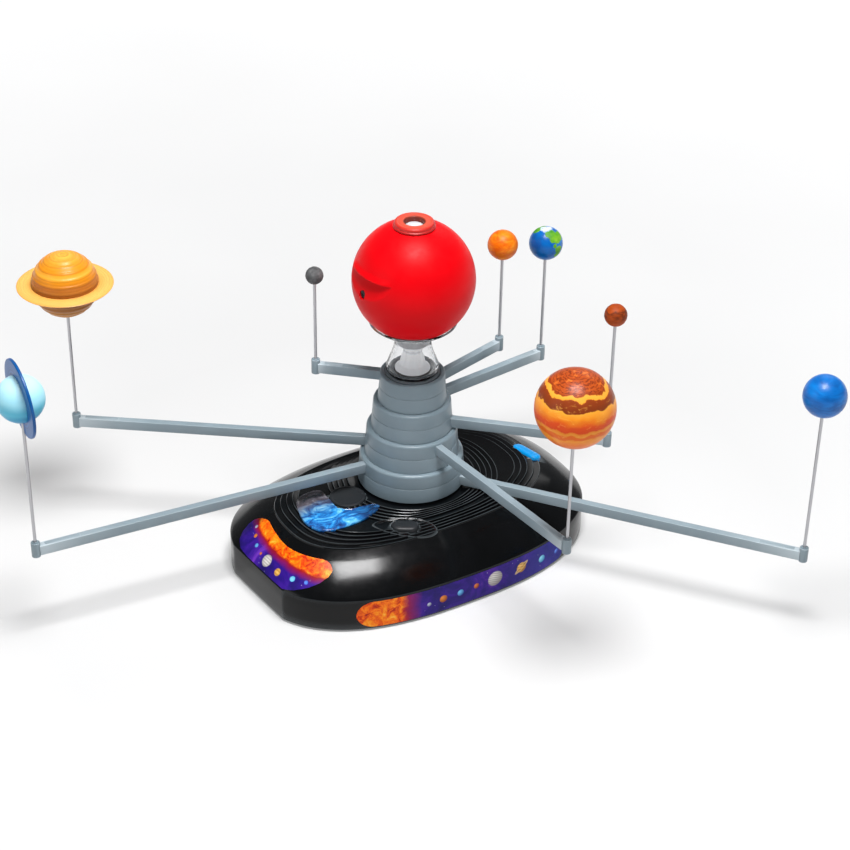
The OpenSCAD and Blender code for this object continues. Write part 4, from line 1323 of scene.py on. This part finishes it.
def wall_film():
    x0, x1 = -99.0, 81.0
    steps, high = 150, 12
    z_mid, half = 14.2, 11.2
    rows = []
    for i in range(steps + 1):
        s = i / steps
        x = x0 + (x1 - x0) * (0.5 - 0.5 * math.cos(math.pi * s)) * 0.35 + (x1 - x0) * s * 0.65
        c = (x - BASE_MID.x) / HALF_L
        # the outline's reach in y at this place along the wall
        y_part = (1 - abs(c) ** SQUARENESS) ** (1 / SQUARENESS)
        share = end_cut(x - x0, 1e9, 13, 2.0)
        if x1 - x < 6:
            share = min(share, math.sqrt(max(0.05, 1 - (1 - (x1 - x) / 6) ** 2)) * 0.5 + 0.5)
        row = []
        for j in range(high + 1):
            z = z_mid + half * share * (2 * j / high - 1)
            row.append((x, BASE_MID.y - (HALF_W + 0.22) * y_part, z))
        rows.append(row)
    obj = film("wall_film", rows, "wall_print", "wall_decal")
    p = Paint("wall_print", 0.4, Specular_IOR_Level=0.18)
    look = space_print(p)
    x = p.axis("X")
    ragged = p.math("ADD", x, p.math("MULTIPLY", p.noise(120, 4), 0.006))
    glow = p.spread(ragged, -0.048, -0.064)
    look = p.mix(glow, look, srgb(170, 20, 26))
    look = p.mix(p.spread(ragged, -0.0585, -0.0635), look, sun_print(p))
    deep = p.spread(x, 0.02, 0.085, 0, 0.75)
    look = p.mix(deep, look, srgb(26, 38, 150))
    white, cream = srgb(240, 238, 232), srgb(150, 140, 138)
    for cx, cz, r, light, dark, bands in (
            (-44.8, 12.2, 1.7, srgb(200, 205, 220), srgb(90, 95, 120), 0),
            (-33.1, 13.4, 3.1, srgb(235, 140, 60), srgb(130, 50, 20), 0),
            (-18.5, 13.7, 2.7, srgb(120, 200, 245), srgb(20, 60, 150), 0),
            (-4.7, 14.7, 2.3, srgb(235, 130, 70), srgb(120, 45, 20), 0),
            (11.9, 15.2, 6.3, white, cream, 3400),
            (36.3, 15.3, 4.4, srgb(250, 205, 110), srgb(170, 110, 40), 2600),
            (56.9, 13.6, 3.1, srgb(150, 230, 250), srgb(30, 130, 190), 0),
            (73.0, 12.0, 2.1, srgb(110, 160, 250), srgb(20, 50, 170), 0)):
        y = BASE_MID.y - HALF_W * (1 - abs((cx - BASE_MID.x) / HALF_L) ** SQUARENESS) ** (
            1 / SQUARENESS)
        look = spot(p, look, (cx, y, cz), r, light, dark, bands)
        if cx == 36.3:
            look = saturn_band(p, look, (cx, y, cz), 7.2, 1.9, -35, srgb(225, 190, 130))
    p.colour(look)
    p.roughness(p.spread(p.noise(200, 3), 0.3, 0.7, 0.36, 0.46))
    p.bump(p.noise(900, 2), 0.00004, 0.2)
    dress(obj, p)


def between(points, x):
    """Straight-line reading of (x, y) points."""
    for (x0, y0), (x1, y1) in zip(points, points[1:]):
        if x <= x1:
            return y0 + (y1 - y0) * (x - x0) / (x1 - x0)
    return points[-1][1]


def corner_film():
    """Print on the left shoulder, following the rim, between two lines of (angle, inset)."""
    outer = [(162.6, 16.8), (162.9, 13.5), (165, 8.5), (168.3, 4.5), (172.6, 1.4), (178, 0.6),
             (199, 0.6), (205.2, 2.1), (211.7, 5.3), (216.7, 9), (219.9, 13), (220.9, 16)]
    inner = [(162.6, 17.6), (163.3, 19.8), (165.1, 22.4), (168, 24.8), (171, 25.9), (177.6, 25),
             (182.5, 23.7), (188.9, 23), (197.3, 23.2), (205.8, 23.5), (213.2, 23.6),
             (217, 22.6), (219.2, 20.6), (220.9, 17.2)]
    sun_edge = [(162, 20), (166.3, 19), (171.7, 17.2), (178, 15.5), (182.4, 14.4), (195.6, 14),
                (204.5, 13.3), (212, 11.7), (221, 10.8)]
    steps, across = 120, 22
    rows, past = [], []
    for i in range(steps + 1):
        s = i / steps
        a = 162.6 + 58.3 * (0.5 * s + 0.5 * (0.5 - 0.5 * math.cos(math.pi * s)))
        low, high = between(outer, a), between(inner, a)
        row = []
        for j in range(across + 1):
            inset = low + (high - low) * j / across
            p = rim(a, inset)
            row.append((p.x, p.y, deck_z(inset) + 0.22))
            past.append(inset - between(sun_edge, a))
        rows.append(row)
    obj = film("corner_film", rows, "wall_print")
    me = obj.data
    grid = {tuple(round(c, 2) for c in q): d
            for q, d in zip((q for row in rows for q in row), past)}
    near = sorted(grid)
    mark = me.attributes.new("sun_depth", "FLOAT", "POINT")
    values = []
    for v in me.vertices:
        q = v.co / MM
        key = min(near, key=lambda k: (k[0] - q.x) ** 2 + (k[1] - q.y) ** 2)
        values.append(grid[key])
    mark.data.foreach_set("value", values)
    p = Paint("corner_print", 0.32, Specular_IOR_Level=0.25)
    depth = p.node("Attribute", attribute_name="sun_depth").outputs["Fac"]
    edge = p.math("ADD", depth, p.math("MULTIPLY", p.math("SUBTRACT", p.noise(120, 4), 0.5), 3.0))
    look = space_print(p)
    look = p.mix(p.spread(edge, -4.0, 0.6), look, srgb(150, 10, 18))
    look = p.mix(p.spread(edge, 0.4, 2.2), look, sun_print(p))
    for angle, inset, r, light, dark, bands in (
            (168.7, 17.0, 1.4, srgb(200, 205, 220), srgb(90, 95, 120), 0),
            (173.4, 13.1, 1.7, srgb(235, 140, 60), srgb(130, 50, 20), 0),
            (177.6, 9.4, 1.7, srgb(120, 200, 245), srgb(20, 60, 150), 0),
            (180.3, 7.6, 1.2, srgb(235, 130, 70), srgb(120, 45, 20), 0),
            (184.0, 7.0, 4.6, srgb(240, 238, 232), srgb(150, 140, 138), 3600),
            (192.2, 6.0, 2.9, srgb(250, 205, 110), srgb(170, 110, 40), 2600),
            (202.4, 7.6, 2.1, srgb(150, 230, 250), srgb(30, 130, 190), 0),
            (209.9, 7.9, 1.6, srgb(110, 160, 250), srgb(20, 50, 170), 0)):
        where = rim(angle, inset)
        look = spot(p, look, (where.x, where.y, deck_z(inset) + 0.2), r, light, dark, bands)
    p.colour(look)
    p.roughness(p.spread(p.noise(200, 3), 0.3, 0.7, 0.28, 0.38))
    p.bump(p.noise(900, 2), 0.00004, 0.2)
    dress(obj, p)


def smooth_loop(points, per=8):
    """Closed Catmull-Rom curve through 2-D points."""
    out = []
    n = len(points)
    for i in range(n):
        p0, p1, p2, p3 = (Vector(points[(i + k - 1) % n]) for k in range(4))
        for s in range(per):
            t = s / per
            out.append(tuple(0.5 * ((2 * p1) + (p2 - p0) * t
                                    + (2 * p0 - 5 * p1 + 4 * p2 - p3) * t * t
                                    + (3 * p1 - p0 - 3 * p2 + p3) * t ** 3)))
    return out


def nebula_film():
    """Glossy crescent pad on the deck beside the round button."""
    outline = smooth_loop([
        (-86, 16.5), (-94.5, 10), (-99.5, -5), (-101, -18), (-97.5, -28.5), (-89, -34.5),
        (-74, -35.5), (-59, -33.5), (-48, -29.5), (-43, -25.5), (-46, -21), (-54.8, -19.4),
        (-64, -18), (-71, -12.5), (-75, -4), (-74.5, 5), (-70.5, 12), (-74, 17)])
    loops = []
    for share, lift in ((0, -0.6), (0, 0.9), (0.012, 1.35), (0.03, 1.6), (0.055, 1.55),
                        (0.085, 1.25), (0.2, 1.3), (0.4, 1.36), (0.62, 1.4), (0.82, 1.42)):
        loop = []
        for x, y in outline:
            spine = Vector((x, y))
            # towards a spine that runs along the crescent's middle
            t = min(1, max(0, (spine.x + 100) / 57))
            core = Vector((-90 + 42 * t ** 1.3, -6 - 19.5 * min(1, t * 2.2)))
            q = spine.lerp(core, share)
            loop.append((q.x, q.y, DECK + lift))
        loops.append(loop)
    verts, faces = skin(loops)
    obj = build("nebula_pad", verts, faces, "base", "nebula_print", "nebula_decal", sharp=60)
    p = Paint("nebula_print", 0.16, Coat_Weight=0.5, Coat_Roughness=0.05)
    p.tree.nodes["Principled BSDF"].inputs["Specular IOR Level"].default_value = 0.6
    m = p.at((1.0, 1.6, 1.0))
    streak = p.node("TexNoise", {"Vector": m, "Scale": 60.0, "Detail": 6.0, "Roughness": 0.62,
                                 "Distortion": 1.4}).outputs["Fac"]
    blue = p.ramp(streak, [(0.3, srgb(6, 28, 66)), (0.44, srgb(14, 84, 160)),
                           (0.55, srgb(36, 148, 226)), (0.66, srgb(120, 205, 246)),
                           (0.8, srgb(226, 244, 252))])
    y = p.axis("Y")
    x = p.axis("X")
    top = p.math("ADD", y, p.math("MULTIPLY", p.math("SUBTRACT", p.noise(70, 4), 0.5), 0.02))
    smoke = p.ramp(streak, [(0.3, srgb(30, 28, 34)), (0.55, srgb(76, 70, 78)),
                            (0.75, srgb(140, 138, 148))])
    look = p.mix(p.spread(top, -0.014, 0.004), blue, smoke)
    night = p.ramp(streak, [(0.35, srgb(6, 14, 34)), (0.6, srgb(22, 74, 128)),
                            (0.75, srgb(90, 160, 210))])
    look = p.mix(p.spread(x, -0.068, -0.05), look, night)
    p.colour(look)
    p.roughness(p.spread(p.noise(200, 3), 0.3, 0.7, 0.12, 0.2))
    p.bump(p.noise(700, 2), 0.00004, 0.2)
    dress(obj, p)


wall_film()
corner_film()
nebula_film()

# ---- Underside and inside ---------------------------------------------------

PLATE_Z = SHELL_LO.z
PILLARS = [tuple(rim(a, 14)) for a in (30, 90, 150, 210, 270, 330)]
DOOR_LO, DOOR_HI = box_mm("battery_door")
DOOR_MID = Vector((DOOR_LO.x + 29.25, (DOOR_LO.y + DOOR_HI.y) / 2))
DOOR_SCREW = (DOOR_HI.x - 5, DOOR_MID.y)


def screws(name, node, places, z, head_r, head_h, length, body, paint, slot):
    """Cross-head screws pointing up, their heads' faces at height z."""
    shapes, bars = [], {0: [], 90: []}
    for x, y in places:
        profile = rounded([
            (0, z), (head_r - 0.7, z + 0.05, 0.4), (head_r, z + 0.55, 0.3),
            (head_r, z + head_h, 0.1),
            (1.45, z + head_h), (1.45, z + head_h + length - 1.4), (0.5, z + head_h + length),
            (0, z + head_h + length)], 0.15, closed=False)
        v, f = turned(profile, 32, closed=False)
        shapes.append((moved(v, Matrix.Translation((x, y, 0))), f))
        for turn, made in bars.items():
            v, f = prism(boxy_outline(head_r * 1.3, 0.6, 0.05, 1), [(0, -0.6), (0, 0.9)])
            made.append((moved(v, at_spot(x, y, turn + 20) @ Matrix.Translation((0, 0, z))), f))
    obj = build(name, *merged(*shapes), body, slot, node, sharp=35)
    cut(obj, *(merged(*made) for made in bars.values()))
    dress(obj, paint)


def feet():
    places = [(*rim(a, 26), 7.0) for a in (40, 140, 220, 320)] + [(0, 0, 8.0)]
    shapes = []
    for x, y, r in places:
        profile = rounded([
            (0, 0.35), (r - 3.1, 0.35, 0.3), (r - 2.7, 0, 0.25), (r - 0.9, 0, 0.4), (r, 0.6, 0.4),
            (r, 1.5), (0, 1.5)], 0.2, closed=False)
        v, f = turned(profile, 64, closed=False)
        shapes.append((moved(v, Matrix.Translation((x, y, 0))), f))
    obj = build("rubber_pads", *merged(*shapes), "base", "foot_rubber", "rubber_feet", sharp=45)
    dress(obj, RUBBER)


def door_panel():
    """Battery door: one rounded outline with an ear for its screw, and finger grooves."""
    def arc(cx, cy, r, start, end, steps):
        return [(cx + r * math.cos(math.radians(start + (end - start) * i / steps)),
                 cy + r * math.sin(math.radians(start + (end - start) * i / steps)))
                for i in range(steps + 1)]
    l, w, c = 29.1, (DOOR_HI.y - DOOR_LO.y) / 2 - 0.1, 1.6
    outline = (arc(-l + c, -w + c, c, 180, 270, 5) + arc(l - c, -w + c, c, 270, 360, 5)
               + arc(31.65, 0, 4.9, -118, 118, 24) + arc(l - c, w - c, c, 0, 90, 5)
               + arc(-l + c, w - c, c, 90, 180, 5))
    z0, z1 = DOOR_LO.z, DOOR_HI.z
    verts, faces = prism(outline, [(-0.5, z0), (-0.15, z0 + 0.12), (0, z0 + 0.45), (0, z1)])
    spot_at = at_spot(DOOR_MID.x, DOOR_MID.y)
    obj = build("battery_door_panel", moved(verts, spot_at), faces, "base", "base_matt",
                "battery_door", sharp=40)
    grooves = []
    for k in range(6):
        v, f = prism(boxy_outline(1.3, 20 - abs(k - 2.5) * 2.4, 0.6, 4),
                     [(0, z0 - 1), (0, z0 + 0.6)])
        grooves.append((moved(v, at_spot(DOOR_MID.x - 24 + 2.6 * k, DOOR_MID.y)), f))
    frame_v, frame_f = prism(boxy_outline(49, 44, 2, 5), [(0, z0 - 1), (0, z0 + 0.3)])
    inner_v, inner_f = prism(boxy_outline(47.6, 42.6, 1.4, 5), [(0, z0 - 1.2), (0, z0 + 0.5)])
    groove = build("cutter_frame", moved(frame_v, spot_at), frame_f, "base", "base_matt")
    cut(groove, (moved(inner_v, spot_at), inner_f))
    ring = ([tuple(v.co / MM) for v in groove.data.vertices],
            [tuple(poly.vertices) for poly in groove.data.polygons])
    bpy.data.objects.remove(groove)
    head_v, head_f = turned([(0, z0 - 1), (3.1, z0 - 1), (3.1, z0 + 1.2), (0, z0 + 1.2)], 40,
                            closed=False)
    shank_v, shank_f = turned([(0, z0 - 1), (1.7, z0 - 1), (1.7, z1 + 1), (0, z1 + 1)], 32,
                              closed=False)
    spot_at = at_spot(*DOOR_SCREW)
    cut(obj, merged(*grooves), ring, (moved(head_v, spot_at), head_f),
        (moved(shank_v, spot_at), shank_f))
    dress(obj, MATT_BLACK)


def underside_ribs():
    """Raised rib that follows the outline, and a blank raised label."""
    loops = []
    for inset, z in ((7.4, PLATE_Z + 0.3), (7.4, PLATE_Z - 0.3), (7.7, PLATE_Z - 0.5),
                     (8.7, PLATE_Z - 0.5), (9.0, PLATE_Z - 0.3), (9.0, PLATE_Z + 0.3)):
        loops.append([(*rim(a, inset), z) for a in range(0, 360, 2)])
    obj = build("underside_rib", *skin(loops, closed=True), "base", "base_matt", sharp=50)
    dress(obj, MATT_BLACK)
    v, f = prism(boxy_outline(56, 34, 3, 6), [(0, PLATE_Z + 0.2), (0, PLATE_Z - 0.12),
                                              (-0.15, PLATE_Z - 0.25)])
    obj = build("underside_label", moved(v, at_spot(-66, 8)), f, "base", "base_matt", sharp=40)
    p = Paint("label_blank", 0.45)
    p.colour(p.ramp(p.noise(70, 4), [(0.3, srgb(150, 152, 155)), (0.7, srgb(166, 168, 171))]))
    p.roughness(p.spread(p.noise(260, 4), 0.3, 0.7, 0.38, 0.52))
    p.bump(p.noise(700, 3), 0.00005, 0.3)
    dress(obj, p)


def softened(node, paint, width):
    """A carried-over piece in its material, its edges broken by a small bevel."""
    obj = dress_cad(node, paint)
    mod = obj.modifiers.new("soften", "BEVEL")
    mod.width = width * MM
    mod.segments = 2
    mod.limit_method = "ANGLE"
    mod.angle_limit = math.radians(50)


def inside():
    softened("base_plate", MATT_BLACK, 0.25)
    softened("centre_post", POST, 0.3)
    softened("retaining_ring", moulded("ring_pale", srgb(120, 132, 140), 0.35, 0.05), 0.2)

    p = Paint("cell_jacket", 0.25, Coat_Weight=0.4, Coat_Roughness=0.1)
    drift = p.noise(40, 4)
    body = p.ramp(drift, [(0.3, srgb(16, 96, 62)), (0.7, srgb(24, 118, 76))])
    band = p.spread(p.math("ABSOLUTE", p.math("SUBTRACT", p.axis("X"), DOOR_MID.x * MM)),
                    0.0185, 0.0188)
    ends = p.ramp(p.noise(400, 3), [(0.3, srgb(176, 138, 72)), (0.7, srgb(198, 160, 90))])
    p.colour(p.mix(band, body, ends))
    p.roughness(p.spread(p.noise(240, 3), 0.3, 0.7, 0.2, 0.32))
    p.bump(p.noise(600, 2), 0.00005, 0.2)
    softened("batteries", p, 0.4)

    contact = metal("contact_spring", (0.66, 0.65, 0.62), 0.3, (1, 0.1, 1))
    softened("battery_contacts", contact, 0.12)

    p = Paint("board_green", 0.3, Coat_Weight=0.3, Coat_Roughness=0.15)


    lines = p.math("SINE", p.math("MULTIPLY", p.axis("X"), 1900))
    gate = p.spread(p.noise(60, 1), 0.5, 0.56)
    mask = p.ramp(p.noise(50, 4), [(0.3, srgb(8, 74, 40)), (0.7, srgb(12, 92, 52))])
    track = p.math("MULTIPLY", p.spread(lines, 0.5, 0.75), gate)
    p.colour(p.mix(track, mask, srgb(34, 128, 74)))
    p.roughness(p.spread(track, 0, 1, 0.34, 0.24))
    p.bump(track, 0.00005, 0.4)
    softened("circuit_boards", p, 0.15)

    p = moulded("washer_nylon", srgb(226, 225, 219), 0.4, 0.04, 900, 0.3)
    softened("slip_washers", p, 0.15)
    p = moulded("lead_sleeve", srgb(176, 26, 28), 0.4, 0.08, 900, 0.3)
    softened("lamp_leads", p, 0.12)
    screws("case_screw_set", "case_screws", PILLARS, PLATE_Z + 0.1, 2.9, 1.5, 12, "base", ZINC,
           "screw_steel")
    screws("door_screw", (), [DOOR_SCREW], PLATE_Z + 0.1, 2.9, 1.1, 6, "base", ZINC, "screw_steel")
    post_lo = box_mm("post_screws")[0].z
    corner = 19.5 / math.sqrt(2)
    screws("post_screw_set", "post_screws",
           [(sx * corner, sy * corner) for sx in (-1, 1) for sy in (-1, 1)],
           post_lo, 2.9, 1.8, 7.5, "base", ZINC, "screw_steel")


feet()
door_panel()
underside_ribs()
inside()


# ---- Stage -----------------------------------------------------------------

def stage():
    mesh = bpy.data.meshes.new("floor")
    s = 6.0
    mesh.from_pydata([(-s, -s, 0), (s, -s, 0), (s, s, 0), (-s, s, 0)], [], [(0, 1, 2, 3)])
    floor = bpy.data.objects.new("floor", mesh)
    bpy.context.scene.collection.objects.link(floor)
    p = Paint("floor_pale", 0.7)
    p.colour(p.ramp(p.noise(3, 2), [(0.3, (0.53, 0.53, 0.53)), (0.7, (0.56, 0.56, 0.56))]))
    p.shader.inputs["Emission Color"].default_value = (1, 1, 1, 1)
    away = p.node("VectorMath", {0: p.coords.outputs["Object"]}, operation="LENGTH")
    p.tree.links.new(p.spread(away.outputs["Value"], 0.3, 1.7, 0.2, 0.9),
                     p.shader.inputs["Emission Strength"])
    dress(floor, p)


def lamp(name, place_m, aim_m, size, power, colour=(1, 1, 1)):
    data = bpy.data.lights.new(name, "AREA")
    data.shape = "RECTANGLE"
    data.size, data.size_y = size
    data.energy = power
    data.color = colour
    obj = bpy.data.objects.new(name, data)
    bpy.context.scene.collection.objects.link(obj)
    obj.location = place_m
    obj.rotation_mode = "QUATERNION"
    obj.rotation_quaternion = (Vector(aim_m) - Vector(place_m)).to_track_quat("-Z", "Y")


HEADING = math.radians(32.1)   # the camera's right, turned back from the base's length
PITCH = 0.5685
ROLL = -0.0171


def from_view(right, ahead, up):
    """A place given to the right of, behind and above the column as the camera sees it."""
    c, s = math.cos(-HEADING), math.sin(-HEADING)
    return Vector((right * c - ahead * s, right * s + ahead * c, up))


def studio():
    world = bpy.data.worlds.new("studio")
    bpy.context.scene.world = world
    world.use_nodes = True
    sky = world.node_tree.nodes["Background"]
    sky.inputs["Color"].default_value = (0.95, 0.97, 1, 1)
    sky.inputs["Strength"].default_value = 0.2
    lamp("key", from_view(0.08, -0.3, 1.6), (0, 0, 0.12), (0.6, 0.5), 34)
    lamp("fill_left", from_view(-1.4, -0.8, 0.8), (0, 0, 0.15), (0.6, 0.9), 2.6)
    lamp("back", from_view(0.6, 1.5, 1.1), (0, 0, 0.15), (1.0, 0.5), 2.5)


def camera():
    data = bpy.data.cameras.new("camera")
    data.sensor_width = 36
    data.lens = 90.18
    data.clip_start, data.clip_end = 0.05, 30
    obj = bpy.data.objects.new("camera", data)
    bpy.context.scene.collection.objects.link(obj)
    ahead = Vector((0, math.cos(PITCH), -math.sin(PITCH)))
    down = Vector((0, -math.sin(PITCH), -math.cos(PITCH)))
    right = Vector((1, 0, 0))
    image_right = right * math.cos(ROLL) + down * math.sin(ROLL)
    image_down = down * math.cos(ROLL) - right * math.sin(ROLL)
    turn = Matrix.Rotation(-HEADING, 3, "Z")
    axes = Matrix((turn @ image_right, turn @ -image_down, turn @ -ahead)).transposed()
    obj.matrix_world = Matrix.Translation(from_view(0.00994, -1.3502, 0.9608)) @ axes.to_4x4()
    bpy.context.scene.camera = obj


stage()
studio()
camera()
bpy.context.scene.view_settings.view_transform = "Standard"
